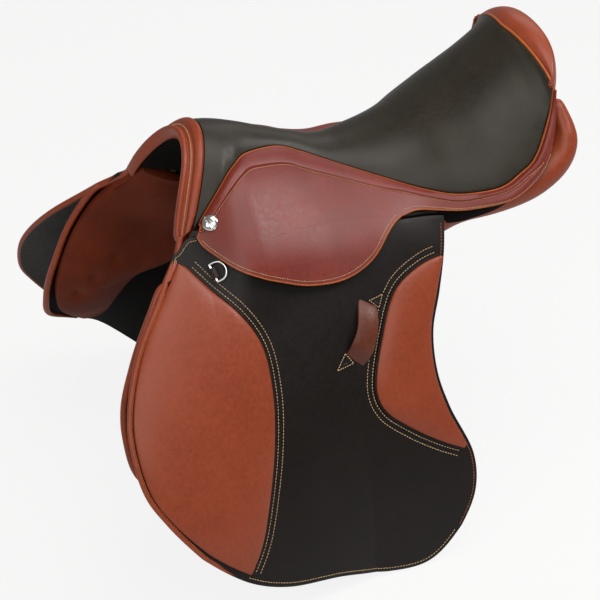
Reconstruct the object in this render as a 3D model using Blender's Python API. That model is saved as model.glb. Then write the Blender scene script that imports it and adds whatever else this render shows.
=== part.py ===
# Close-contact jumping saddle, English pattern, on a seventeen and a half inch tree
# X runs back to the cantle, -Y is the saddle's left (near) side and +Z is up
# The origin lies on the centre plane, in the gullet channel, where the horse's spine would be
# Shapes are worked out for the +Y side and mirrored, with y as the half width

import math

import bmesh
import bpy
import numpy as np

# Sizes in metres
GAP = 0.0003
SEAT_LOW = 0.0858
SEAT_LOW_X = -0.014
POMMEL_RISE = 0.0475
POMMEL_RUN = 0.190
CANTLE_RISE = 0.1012
CANTLE_RUN = 0.223
CANTLE_SWEEP = 2.13

# Layers, as depths below the outer surface of seat or side
COVER_DEPTHS = (0.0, 0.0020)
FOAM_DEPTHS = (0.0040, 0.0145)
WEB_DEPTHS = (0.0165, 0.0182)
STRAINER_DEPTHS = (0.0200, 0.0216)
TREE_DEPTHS = (0.0232, 0.0330)
RAIL_DEPTHS = (0.0232, 0.0306)
SIDE_PLATE_DEPTHS = (0.0200, 0.0280)

# Leather
FLAP_THICK = 0.0040
FLAP_TOP_WIDTH = 0.118
FLAP_TOP_Z = 0.025
FLAP_SLOPE = 0.72
FLAP_CURL = 0.88
FLAP_FRONT_SPLAY = 0.714
SKIRT_THICK = 0.0036
SKIRT_LIFT = 0.0012
SKIRT_STAND_OFF = 0.0064
CUT_START = (-0.200, 0.044)
CUT_END = (0.090, 0.026)
CUT_GAP = 0.0008
PIPING_RADIUS = 0.0018
BAND_START = 0.0061
SWEAT_THICK = 0.0030
HEAD_PLATE_DEPTH = 0.0203
LINING_DEPTH = 0.0368
SEAT_ROWS = 27
SEAT_COLUMNS = 15

SIDES = (("left", -1.0), ("right", 1.0))

# Seat welt stations: x, half width and z at the edge, x on the centre line, and the roll of the section
WELT = (
    (-0.185, 0.084, 0.055, -0.155, 0.64),
    (-0.164, 0.070, 0.084, -0.147, 0.72),
    (-0.141, 0.055, 0.103, -0.134, 0.84),
    (-0.114, 0.039, 0.109, -0.114, 0.98),
    (-0.080, 0.029, 0.105, -0.080, 0.96),
    (-0.050, 0.030, 0.0925, -0.050, 0.92),
    (-0.006, 0.043, 0.073, -0.006, 0.88),
    (0.034, 0.065, 0.060, 0.032, 0.92),
    (0.084, 0.093, 0.046, 0.080, 1.05),
    (0.118, 0.114, 0.045, 0.110, 1.15),
    (0.150, 0.125, 0.050, 0.135, 1.15),
    (0.180, 0.126, 0.065, 0.160, 1.05),
    (0.205, 0.119, 0.087, 0.187, 0.85),
    (0.221, 0.106, 0.114, 0.209, 0.65),
    (0.231, 0.098, 0.148, 0.226, 0.47),
)

# Outlines on the flap and skirt, as x and z
FLAP_FRONT = ((-0.229, 0.026), (-0.256, -0.001), (-0.295, -0.042), (-0.317, -0.082), (-0.3235, -0.112),
              (-0.318, -0.160), (-0.300, -0.193), (-0.266, -0.239))
FLAP_BOTTOM = ((-0.266, -0.239), (-0.216, -0.284), (-0.167, -0.309), (-0.100, -0.326), (-0.032, -0.347),
               (0.019, -0.346), (0.060, -0.309))
FLAP_REAR = ((0.090, 0.024), (0.081, -0.008), (0.066, -0.045), (0.050, -0.082), (0.047, -0.123),
             (0.056, -0.163), (0.080, -0.224), (0.079, -0.268), (0.060, -0.309))
NOTCH = (-0.150, -0.033, 0.0140)
KNEE_BORDER = ((-0.219, 0.014), (-0.204, 0.001), (-0.173, -0.024), (-0.155, -0.057), (-0.153, -0.100),
               (-0.161, -0.148), (-0.178, -0.205), (-0.195, -0.249), (-0.213, -0.276))
THIGH_BORDER = ((0.074, -0.012), (0.048, -0.017), (0.013, -0.035), (-0.010, -0.071), (-0.030, -0.129),
                (-0.023, -0.152), (0.004, -0.176), (0.039, -0.199), (0.068, -0.214))
SKIRT_LOW = ((-0.178, 0.026), (-0.155, 0.014), (-0.123, -0.002), (-0.088, -0.013), (-0.046, -0.015),
             (-0.012, -0.004), (0.011, 0.013))
SKIRT_TOP_X = (-0.192, 0.038)
BAND_TAIL = ((0.056, 0.113, 0.031), (0.090, 0.121, 0.028), (0.128, 0.134, 0.031), (0.168, 0.140, 0.045),
             (0.200, 0.132, 0.066), (0.222, 0.118, 0.093), (0.236, 0.106, 0.122), (0.240, 0.101, 0.142))

# Stirrup bar, in its own frame: along the bar, up the side and out from the side
BAR_AT = (-0.140, -0.044, 0.0235)
BAR_HEIGHT = 0.012
BAR_OUT = (-0.0075, -0.0015)
BAR_PLATE = (-0.0188, -0.0158)
CATCH_AXIS_ALONG = 0.040

# Girth straps
STRAP_X = (-0.022, 0.010, 0.042)
STRAP_Y = 0.1325
STRAP_TOP = -0.030
STRAP_LENGTH = 0.300
STRAP_WIDTH = 0.026
STRAP_THICK = 0.0040
STRAP_HOLES = 6


def make_material(name, colour, roughness, metallic=0.0):
    material = bpy.data.materials.new(name)
    material.use_nodes = True
    shader = material.node_tree.nodes["Principled BSDF"]
    shader.inputs["Base Color"].default_value = (*colour, 1.0)
    shader.inputs["Roughness"].default_value = roughness
    shader.inputs["Metallic"].default_value = metallic
    material.diffuse_color = (*colour, 1.0)
    return material


def make_materials():
    return {
        "seat": make_material("olive_calf_leather", (0.045, 0.040, 0.033), 0.45),
        "tan": make_material("tan_calf_leather", (0.33, 0.085, 0.035), 0.42),
        "oxblood": make_material("oxblood_skirt_leather", (0.17, 0.035, 0.028), 0.28),
        "flap": make_material("chocolate_flap_leather", (0.030, 0.019, 0.016), 0.40),
        "piping": make_material("orange_piping_leather", (0.45, 0.14, 0.035), 0.45),
        "suede": make_material("brown_panel_leather", (0.17, 0.048, 0.024), 0.60),
        "lining": make_material("black_gullet_lining", (0.010, 0.009, 0.009), 0.70),
        "chrome": make_material("polished_steel", (0.80, 0.80, 0.80), 0.15, 1.0),
        "steel": make_material("blued_steel_plate", (0.30, 0.31, 0.33), 0.35, 1.0),
        "wood": make_material("laminated_beech", (0.52, 0.33, 0.17), 0.55),
        "foam": make_material("seat_foam", (0.70, 0.64, 0.45), 0.90),
        "web": make_material("linen_webbing", (0.60, 0.53, 0.38), 0.85),
        "strap": make_material("chocolate_strap_leather", (0.060, 0.026, 0.016), 0.45),
    }


def smooth_curve(points):
    # A curve through the points whose parameter runs from 0 to 1 with the root of chord length
    points = np.asarray(points, float)
    knots = np.concatenate([[0.0], np.cumsum(np.sqrt(np.linalg.norm(np.diff(points, axis=0), axis=1)))])
    knots = knots / knots[-1]
    steps = np.diff(knots)[:, None]
    chords = np.diff(points, axis=0) / steps
    slopes = np.empty_like(points)
    slopes[1:-1] = (chords[:-1] * steps[1:] + chords[1:] * steps[:-1]) / (steps[1:] + steps[:-1])
    slopes[0] = 1.5 * chords[0] - 0.5 * slopes[1]
    slopes[-1] = 1.5 * chords[-1] - 0.5 * slopes[-2]

    def at(parameter):
        parameter = np.asarray(parameter, float)
        span = np.clip(np.searchsorted(knots, parameter, side="right") - 1, 0, len(points) - 2)
        step = steps[span]
        w = (parameter - knots[span])[..., None] / step
        start = (1 + 2 * w) * (1 - w) ** 2 * points[span] + w * (1 - w) ** 2 * step * slopes[span]
        end = w * w * (3 - 2 * w) * points[span + 1] + w * w * (w - 1) * step * slopes[span + 1]
        return start + end

    return at


def smooth_step(low, high, value):
    w = np.clip((np.asarray(value, float) - low) / (high - low), 0, 1)
    return w * w * (3 - 2 * w)


def unit(vectors):
    return vectors / np.linalg.norm(vectors, axis=-1, keepdims=True)


# Seat surface: s runs from pommel to cantle, t from -1 to 1 across

seat_station = smooth_curve(WELT)
WELT_SAMPLES = seat_station(np.linspace(0, 1, 600))


def station_at(x_edge):
    # The station whose edge lies at x_edge
    return np.interp(x_edge, WELT_SAMPLES[:, 0], np.linspace(0, 1, 600))


def ridge_height(x):
    front = POMMEL_RISE * (1 - np.cos(np.pi * np.clip((SEAT_LOW_X - x) / POMMEL_RUN, 0, 1))) / 2
    rear = CANTLE_RISE * (np.clip(x - SEAT_LOW_X, 0, None) / CANTLE_RUN) ** CANTLE_SWEEP
    return SEAT_LOW + front + rear


def seat_point(s, t):
    # Each cross-section rolls over like a flattened arc from the centre to the welt
    s, t = np.broadcast_arrays(np.asarray(s, float), np.asarray(t, float))
    x_edge, y_edge, z_edge, x_mid, roll = np.moveaxis(seat_station(s), -1, 0)
    angle = t * roll
    fall = (1 - np.cos(angle)) / (1 - np.cos(roll))
    z_mid = ridge_height(x_mid)
    return np.stack([
        x_mid + (x_edge - x_mid) * fall,
        y_edge * np.sin(angle) / np.sin(roll),
        z_mid - (z_mid - z_edge) * fall,
    ], axis=-1)


def seat_layer(s, t, depth):
    s, t = np.broadcast_arrays(np.asarray(s, float), np.asarray(t, float))
    e = 1e-4
    along = seat_point(np.clip(s + e, 0, 1), t) - seat_point(np.clip(s - e, 0, 1), t)
    across = seat_point(s, t + e) - seat_point(s, t - e)
    normal = unit(np.cross(along, across))
    return seat_point(s, t) - normal * np.asarray(depth, float)[..., None]


def welt_point(s, distance, sink=0.0):
    # A point past the seat's edge, on the line that carries the seat's surface on
    e = 1e-3
    edge = seat_point(s, 1.0)
    along = unit(seat_point(np.clip(s + e, 0, 1), 1.0) - seat_point(np.clip(s - e, 0, 1), 1.0))
    outward = unit(edge - seat_point(s, 1.0 - e))
    outward = unit(outward - along * np.sum(outward * along, axis=-1, keepdims=True))
    normal = unit(np.cross(along, outward))
    return edge + outward * distance - normal * sink


# Side surface: the skin of flap and skirt, y as a function of x and z

def flap_half_width(x, z):
    drop = FLAP_TOP_Z - z
    splay = FLAP_FRONT_SPLAY * np.clip(-(x + 0.05), 0, 1) * np.clip(drop, 0, 1)
    return FLAP_TOP_WIDTH + FLAP_SLOPE * drop - FLAP_CURL * drop ** 2 + splay


def side_half_width(x, z):
    # Below the merge height the flap hangs free; above it the side rolls over to meet the welt
    x, z = np.broadcast_arrays(np.asarray(x, float), np.asarray(z, float))
    welt_y = np.interp(x, WELT_SAMPLES[:, 0], WELT_SAMPLES[:, 1])
    welt_z = np.interp(x, WELT_SAMPLES[:, 0], WELT_SAMPLES[:, 2])
    merge = np.interp(x, (-0.30, -0.18, -0.06, 0.10), (-0.08, -0.06, -0.03, -0.02))
    e = 1e-4
    low_y = flap_half_width(x, merge)
    low_slope = (flap_half_width(x, merge + e) - flap_half_width(x, merge - e)) / (2 * e)
    top_slope = np.interp(x, (-0.20, -0.15, -0.05, 0.02, 0.09, 0.13), (-0.9, -1.6, -2.0, -2.2, -1.2, -0.8))
    height = welt_z - merge
    w = np.clip((z - merge) / height, 0, 1.3)
    rolled = ((1 + 2 * w) * (1 - w) ** 2 * low_y + w * (1 - w) ** 2 * height * low_slope
              + w * w * (3 - 2 * w) * welt_y + w * w * (w - 1) * height * top_slope)
    return np.where(z < merge, flap_half_width(x, z), rolled)


def lifted(surface, x, z, lift):
    # A point at the given height above a side surface y(x, z), along its normal
    x, z = np.broadcast_arrays(np.asarray(x, float), np.asarray(z, float))
    e = 1e-4
    slope_x = (surface(x + e, z) - surface(x - e, z)) / (2 * e)
    slope_z = (surface(x, z + e) - surface(x, z - e)) / (2 * e)
    normal = unit(np.stack([-slope_x, np.ones_like(x), -slope_z], axis=-1))
    point = np.stack([x, surface(x, z), z], axis=-1)
    return point + normal * np.broadcast_to(np.asarray(lift, float), x.shape)[..., None]


def side_layer(x, z, lift):
    return lifted(side_half_width, x, z, lift)


def sweat_half_width(x, z):
    # The sweat flap lies against the horse, so it hangs steeper than the flap
    drop = FLAP_TOP_Z - z
    front = 1 - smooth_step(-0.24, -0.12, x)
    spread = 0.010 + 0.026 * front
    return 0.117 + spread * (1 - np.exp(-drop / 0.06)) + 3.2 * front * np.clip(drop - 0.11, 0, 1) ** 2


def sweat_layer(x, z, lift):
    return lifted(sweat_half_width, x, z, lift)


# Mesh makers

def add_object(name, points, faces, material, side=1.0, sharp_degrees=40.0):
    points = np.array(points, float).reshape(-1, 3) * (1.0, side, 1.0)
    mesh = bpy.data.meshes.new(name)
    mesh.from_pydata(points.tolist(), [], [tuple(int(i) for i in face) for face in faces])
    work = bmesh.new()
    work.from_mesh(mesh)
    bmesh.ops.remove_doubles(work, verts=work.verts, dist=1e-6)
    bmesh.ops.recalc_face_normals(work, faces=work.faces)
    if work.calc_volume(signed=True) < 0:
        bmesh.ops.reverse_faces(work, faces=work.faces)
    work.to_mesh(mesh)
    work.free()
    mesh.shade_smooth()
    mesh.set_sharp_from_angle(angle=math.radians(sharp_degrees))
    mesh.materials.append(material)
    item = bpy.data.objects.new(name, mesh)
    bpy.context.scene.collection.objects.link(item)
    return item


def grid_faces(rows, cols, start=0, wrap=False):
    faces = []
    for i in range(rows - 1):
        for j in range(cols if wrap else cols - 1):
            a = start + i * cols + j
            b = start + i * cols + (j + 1) % cols
            c, d = a + cols, b + cols
            faces += [(a, b, d), (a, d, c)]
    return faces


def sheet(outer, inner):
    # A closed sheet between two grids of the same size
    rows, cols = outer.shape[:2]
    count = rows * cols
    points = np.concatenate([outer.reshape(-1, 3), inner.reshape(-1, 3)])
    faces = grid_faces(rows, cols) + grid_faces(rows, cols, count)
    index = np.arange(count).reshape(rows, cols)
    rim = np.concatenate([index[0, :-1], index[:-1, -1], index[-1, :0:-1], index[:0:-1, 0]])
    for a, b in zip(rim, np.roll(rim, -1)):
        faces += [(a, b, b + count), (a, b + count, a + count)]
    return points, faces


def loft(rings):
    # A closed skin over rings of the same number of points, with a fan at each end
    rings = np.asarray(rings, float)
    rows, cols = rings.shape[:2]
    points = np.concatenate([rings.reshape(-1, 3), [rings[0].mean(axis=0)], [rings[-1].mean(axis=0)]])
    faces = grid_faces(rows, cols, wrap=True)
    first, last = rows * cols, rows * cols + 1
    for j in range(cols):
        k = (j + 1) % cols
        faces += [(first, k, j), (last, (rows - 1) * cols + j, (rows - 1) * cols + k)]
    return points, faces


def closed_loop(rings):
    # Rings joined end to end into a closed hoop
    rings = np.asarray(rings, float)
    rows, cols = rings.shape[:2]
    faces = grid_faces(rows, cols, wrap=True)
    for j in range(cols):
        k = (j + 1) % cols
        a, b, c, d = (rows - 1) * cols + j, (rows - 1) * cols + k, j, k
        faces += [(a, b, d), (a, d, c)]
    return rings.reshape(-1, 3), faces


def path_frames(path, up):
    # Unit side and up vectors square to the path, up kept nearest to the given one
    tangent = unit(np.gradient(path, axis=0))
    across = unit(np.cross(tangent, np.broadcast_to(up, path.shape)))
    return across, unit(np.cross(across, tangent))


def sweep(path, profile, up, turned=False):
    # A profile of points (across, up) carried along the path, or of points (up, across) if turned
    across, rise = path_frames(path, up)
    if turned:
        across, rise = rise, across
    profile = np.asarray(profile, float)
    return path[:, None] + profile[None, :, :1] * across[:, None] + profile[None, :, 1:] * rise[:, None]


def circle(radius, sides):
    angles = np.arange(sides) * 2 * math.pi / sides
    return np.stack([np.cos(angles), np.sin(angles)], axis=-1) * radius


def rounded_bar(width, height, corner=0.3):
    # An eight-sided bar section, its corners cut back by a share of its height
    w, h, c = width / 2, height / 2, corner * height
    return [(w, h - c), (w - c, h), (c - w, h), (-w, h - c), (-w, c - h), (c - w, -h), (w - c, -h), (w, c - h)]


def coons(top, bottom, front, rear, rows, cols):
    # A grid between four border curves, by blending opposite borders
    u = np.linspace(0, 1, cols)
    v = np.linspace(0, 1, rows)
    t, b, f, r = top(u), bottom(u), front(v), rear(v)
    u, v = u[None, :, None], v[:, None, None]
    ruled = (1 - v) * t[None] + v * b[None] + (1 - u) * f[:, None] + u * r[:, None]
    corners = (1 - v) * ((1 - u) * t[0] + u * t[-1]) + v * ((1 - u) * b[0] + u * b[-1])
    return ruled - corners


def join_bodies(makers):
    # The points and faces of several closed bodies in one list
    points, faces, start = [], [], 0
    for part_points, part_faces in makers:
        points.append(np.asarray(part_points, float).reshape(-1, 3))
        faces += [tuple(i + start for i in face) for face in part_faces]
        start += len(points[-1])
    return np.concatenate(points), faces


def clear_scene():
    for item in list(bpy.data.objects):
        bpy.data.objects.remove(item, do_unlink=True)


# Seat and tree

def make_seat(materials):
    s = np.linspace(0, 1, SEAT_ROWS)[:, None]
    t = np.linspace(-1, 1, SEAT_COLUMNS)[None]
    add_object("seat_cover", *sheet(*(seat_layer(s, t, depth) for depth in COVER_DEPTHS)), materials["seat"])
    s = np.linspace(0.05, 0.95, 19)[:, None]
    t = np.linspace(-0.86, 0.86, 9)[None]
    add_object("seat_foam", *sheet(*(seat_layer(s, t, depth) for depth in FOAM_DEPTHS)), materials["foam"])
    s = np.linspace(station_at(-0.120), station_at(0.150), 9)[:, None]
    t = np.linspace(-0.40, 0.40, 5)[None]
    add_object("seat_strainer", *sheet(*(seat_layer(s, t, depth) for depth in STRAINER_DEPTHS)), materials["web"])


def head_path(depth, low, count=19):
    # The arch over the withers: down one side, over the centre and down the other, at a depth below the skin
    arm = side_layer(-0.168, np.linspace(low, 0.036, 3), -depth)
    crown = seat_layer(station_at(np.array([-0.162, -0.156, -0.152, -0.150])), np.array([0.80, 0.55, 0.28, 0.0]), depth)
    half = np.concatenate([arm, crown])
    other = half[-2::-1] * (1, -1, 1)
    return smooth_curve(np.concatenate([half, other]))(np.linspace(0, 1, count))


def make_tree(materials):
    thick = TREE_DEPTHS[1] - TREE_DEPTHS[0]
    rings = sweep(head_path(sum(TREE_DEPTHS) / 2, 0.014), rounded_bar(0.030, thick), (-1.0, 0.0, 0.0), turned=True)
    add_object("tree_head", *loft(rings), materials["wood"])
    rings = sweep(head_path(HEAD_PLATE_DEPTH, 0.018), rounded_bar(0.020, 0.0022), (-1.0, 0.0, 0.0), turned=True)
    add_object("head_plate", *loft(rings), materials["steel"])
    rings = sweep(head_path(LINING_DEPTH, 0.034), rounded_bar(0.030, 0.0016), (-1.0, 0.0, 0.0), turned=True)
    add_object("gullet_lining", *loft(rings), materials["lining"])
    for name, side in SIDES:
        x = np.linspace(-0.139, -0.012, 9)[None]
        top = np.interp(x, WELT_SAMPLES[:, 0], WELT_SAMPLES[:, 2]) - 0.022
        z = 0.016 + (top - 0.016) * np.linspace(0, 1, 5)[:, None]
        layers = (side_layer(x, z, -depth) for depth in SIDE_PLATE_DEPTHS)
        add_object("tree_side_" + name, *sheet(*layers), materials["wood"], side)
        s = np.linspace(station_at(-0.004), station_at(0.150), 10)[:, None]
        t = np.linspace(0.42, 0.72, 4)[None]
        layers = (seat_layer(s, t, depth) for depth in RAIL_DEPTHS)
        add_object("tree_rail_" + name, *sheet(*layers), materials["wood"], side)
    s = np.linspace(station_at(0.153), 0.940, 7)[:, None]
    t = np.linspace(-0.74, 0.74, 11)[None]
    add_object("tree_cantle", *sheet(*(seat_layer(s, t, depth) for depth in TREE_DEPTHS)), materials["wood"])


def web_path(x, depth):
    # Over the tree and down the side at one x, then hanging clear of the flap
    crown = seat_layer(station_at(x), np.array([0.0, 0.3, 0.6, 0.85]), depth)
    flank = side_layer(x, np.array([0.036, 0.020]), -depth)
    out = WEB_DEPTHS[1] - depth
    hang = np.array([(x, 0.1225 + out, -0.008), (x, 0.1277 + out, -0.026), (x, 0.1277 + out, -0.052)])
    half = np.concatenate([crown, flank, hang])
    path = smooth_curve(np.concatenate([half[:0:-1] * (1, -1, 1), half]))(np.linspace(0, 1, 23))
    path[:, 0] = x
    return path


def make_girth_webs(materials):
    for name, low, high, count in (("front_girth_web", -0.034, 0.022, 4), ("rear_girth_web", 0.030, 0.054, 3)):
        layers = (np.array([web_path(x, depth) for x in np.linspace(low, high, count)]) for depth in WEB_DEPTHS)
        add_object(name, *sheet(*layers), materials["web"])


# Side leather

def cut_height(x):
    # The line on which flap and skirt hinge
    return np.interp(x, (CUT_START[0], CUT_END[0]), (CUT_START[1], CUT_END[1]))


def cut_edge(x):
    # The same line, but falling away at the front to the flap's corner
    return cut_height(x) - (cut_height(x) - FLAP_FRONT[0][1]) * (1 - smooth_step(-0.229, -0.192, x))


def flap_top(u):
    # The flap's top edge: down to the front corner, level along the hinge line, and dipped under the stirrup bar
    x = FLAP_FRONT[0][0] + (FLAP_REAR[0][0] - FLAP_FRONT[0][0]) * np.asarray(u, float)
    front, rear, low = NOTCH
    inside = smooth_step(front - 0.016, front, x) * (1 - smooth_step(rear, rear + 0.016, x))
    dip = (cut_height(x) - low) * inside
    return np.stack([x, cut_edge(x) - CUT_GAP / 2 - dip], axis=-1)


def welt_rows(start):
    # The seat's own rows, the first moved clear of the pommel facing
    return np.concatenate([[start], np.linspace(0, 1, SEAT_ROWS)[1:]])


def skirt_band_grid():
    # Columns run from the welt down to the hinge line, or to the lower edge of the tail
    x_low = np.linspace(-0.189, 0.038, 24)
    z_low = cut_height(x_low) + CUT_GAP / 2
    low = smooth_curve(list(zip(x_low, side_half_width(x_low, z_low), z_low)) + list(BAND_TAIL))
    top = welt_point(welt_rows(0.030), BAND_START)
    samples = low(np.linspace(0, 1, 400))
    run = np.concatenate([[0], np.cumsum(np.linalg.norm(np.diff(samples, axis=0), axis=1))])
    top_run = np.concatenate([[0], np.cumsum(np.linalg.norm(np.diff(top, axis=0), axis=1))])
    share = top_run / top_run[-1] * run[-1]
    bottom = np.stack([np.interp(share, run, samples[:, k]) for k in range(3)], axis=-1)
    v = np.linspace(0, 1, 5)[:, None, None]
    flat = (1 - v) * top + v * bottom
    tail = smooth_step(0.12, 0.165, flat[..., 0])
    bulge = 0.004 * np.sin(math.pi * v[..., 0])
    flat[..., 1] = side_half_width(flat[..., 0], flat[..., 2]) * (1 - tail) + (flat[..., 1] + bulge) * tail
    flat[0] = top
    return flat, unit(np.cross(np.gradient(flat, axis=1), np.gradient(flat, axis=0)))


def make_skirts(materials):
    flat, normal = skirt_band_grid()
    lift = np.interp(np.linspace(0, 1, 5), (0, 0.3, 1), (0.0, SKIRT_LIFT, SKIRT_LIFT))[:, None, None]
    top = smooth_curve([(x, cut_height(x) - CUT_GAP / 2) for x in np.linspace(*SKIRT_TOP_X, 12)])
    front = smooth_curve([tuple(top(0.0)), (-0.189, 0.037), SKIRT_LOW[0]])
    rear = smooth_curve([tuple(top(1.0)), (0.026, 0.024), SKIRT_LOW[-1]])
    rows, cols = 7, 17
    lobe = coons(top, smooth_curve(SKIRT_LOW), front, rear, rows, cols)
    stand_off = SKIRT_LIFT + SKIRT_STAND_OFF * smooth_step(0, 0.35, np.linspace(0, 1, rows))[:, None] + np.zeros((1, cols))
    for name, side in SIDES:
        inner = flat + normal * lift
        add_object("skirt_band_" + name, *sheet(inner + normal * SKIRT_THICK, inner), materials["oxblood"], side)
        layers = (side_layer(lobe[..., 0], lobe[..., 1], stand_off + SKIRT_THICK),
                  side_layer(lobe[..., 0], lobe[..., 1], stand_off))
        add_object("skirt_" + name, *sheet(*layers), materials["oxblood"], side)


def pad_layers(layer, grid, floor, edge, crown):
    # A padded form: flat beneath, thin at its seams and crowned in the middle
    rows, cols = grid.shape[:2]
    u = np.linspace(0, 1, cols)[None]
    v = np.linspace(0, 1, rows)[:, None]
    swell = np.clip(np.sin(math.pi * u), 0, 1) ** 0.6 * np.clip(np.sin(math.pi * v), 0, 1) ** 0.6
    return (layer(grid[..., 0], grid[..., 1], floor + edge + crown * swell),
            layer(grid[..., 0], grid[..., 1], floor + 0 * swell))


def make_flaps(materials):
    rear_border = smooth_curve(FLAP_REAR)
    flap = coons(flap_top, smooth_curve(FLAP_BOTTOM), smooth_curve(FLAP_FRONT), rear_border, 11, 26)
    inset = np.array((0.007, 0.0))
    front = [(-0.2265, 0.0175)] + [tuple(np.array(p) + inset) for p in FLAP_FRONT[1:-1]] + [(-0.259, -0.237)]
    knee = coons(smooth_curve([front[0], KNEE_BORDER[0]]),
                 smooth_curve([front[-1], (-0.236, -0.258), KNEE_BORDER[-1]]),
                 smooth_curve(front), smooth_curve(KNEE_BORDER), 13, 8)
    rear = [(0.078, -0.013), (0.062, -0.045), (0.0465, -0.082), (0.0435, -0.123), (0.052, -0.163), (0.072, -0.210)]
    thigh = coons(smooth_curve([THIGH_BORDER[0], rear[0]]), smooth_curve([THIGH_BORDER[-1], rear[-1]]),
                  smooth_curve(THIGH_BORDER), smooth_curve(rear), 10, 7)
    x = np.linspace(-0.186, 0.084, 24)
    lower = cut_height(x) + CUT_GAP / 2
    upper = lower + 0.003 + 0.009 * smooth_step(-0.186, -0.165, x)
    v = np.linspace(0, 1, 3)[:, None]
    head = np.stack([x + 0 * v, (1 - v) * upper + v * lower], axis=-1)
    for name, side in SIDES:
        layers = (side_layer(flap[..., 0], flap[..., 1], lift) for lift in (0.0, -FLAP_THICK))
        add_object("flap_" + name, *sheet(*layers), materials["flap"], side)
        add_object("knee_pad_" + name, *sheet(*pad_layers(side_layer, knee, 0.0021, 0.0016, 0.0085)),
                   materials["tan"], side)
        add_object("thigh_pad_" + name, *sheet(*pad_layers(side_layer, thigh, 0.0012, 0.0016, 0.0060)),
                   materials["tan"], side)
        layers = (side_layer(head[..., 0], head[..., 1], lift) for lift in (0.0, -FLAP_THICK))
        add_object("flap_head_" + name, *sheet(*layers), materials["flap"], side)


def make_piping(materials):
    for name, side in SIDES:
        path = welt_point(welt_rows(0.014), PIPING_RADIUS + 0.0008)
        rings = sweep(path, circle(PIPING_RADIUS, 6), (0.0, 0.3, 1.0))
        add_object("seat_piping_" + name, *loft(rings), materials["piping"], side, 80)


def make_facings(materials):
    # Pommel facing: a rolled band over the front edge of the seat, drawn to a point at each end
    arch = seat_layer(0.0, np.linspace(-1, 1, 31), 0.0)
    tail = np.array([(-0.194, 0.089, 0.0525), (-0.203, 0.0925, 0.0500)])
    path = smooth_curve(np.concatenate([tail[::-1] * (1, -1, 1), arch, tail]))(np.linspace(0, 1, 33))
    tangent = unit(np.gradient(path, axis=0))
    forward = np.array([-1.0, 0.0, -0.28]) + 0 * path
    forward = unit(forward - tangent * np.sum(forward * tangent, axis=1, keepdims=True))
    outward = unit(np.cross(tangent, forward))
    outward *= np.sign(outward[len(path) // 2, 2])
    profile = np.array([(0.0014, -0.010), (0.0014, 0.000), (0.0030, 0.0035), (0.0058, 0.0038), (0.0085, 0.0010),
                        (0.0130, 0.0000), (0.0160, 0.0030), (0.0205, 0.0032), (0.0245, 0.0000), (0.0262, -0.0055),
                        (0.0250, -0.0120), (0.0210, -0.0120), (0.0200, -0.0060)])
    share = np.abs(np.linspace(-1, 1, len(path)))
    width = np.interp(share, (0, 0.5, 0.85, 1.0), (1.10, 1.0, 0.85, 0.12))
    height = np.interp(share, (0, 0.85, 1.0), (1.0, 0.9, 0.25))
    rings = (path[:, None] + forward[:, None] * profile[None, :, :1] * width[:, None, None]
             + outward[:, None] * profile[None, :, 1:] * height[:, None, None])
    add_object("pommel_facing", *loft(rings), materials["tan"])

    # Cantle facing: a crescent from the welt over the rim and down the back
    t = np.linspace(-1, 1, SEAT_COLUMNS)
    welt = seat_layer(1.0, t, 0.0)
    lean = 1 - t ** 2
    rim = np.stack([0.243 - 0.004 * lean, 0.102 * t, 0.149 + 0.052 * lean], axis=-1)
    brow = (welt + rim) / 2 + np.stack([-0.001 * lean, 0 * t, 0.004 + 0.002 * lean], axis=-1)
    back = np.stack([0.251 - 0.002 * lean, 0.099 * t, 0.138 + 0.036 * lean], axis=-1)
    hem = np.stack([0.252 + 0.000 * t, 0.094 * t, 0.120 - 0.008 * lean], axis=-1)
    start = welt + unit(rim - welt) * 0.0054
    rows = [smooth_curve([start[k], brow[k], rim[k], back[k], hem[k]])(np.linspace(0, 1, 8)) for k in range(len(t))]
    outer = np.array(rows).transpose(1, 0, 2)
    normal = unit(np.cross(np.gradient(outer, axis=0), np.gradient(outer, axis=1)))
    normal *= np.sign(normal[0, len(t) // 2, 2])
    add_object("cantle_facing", *sheet(outer, outer - normal * 0.0035), materials["tan"])
    path = welt + unit(rim - welt) * 0.0030
    add_object("cantle_welt", *loft(sweep(path, circle(PIPING_RADIUS, 6), (0.3, 0.0, 1.0))), materials["piping"],
               1.0, 80)


# Panels

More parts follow.
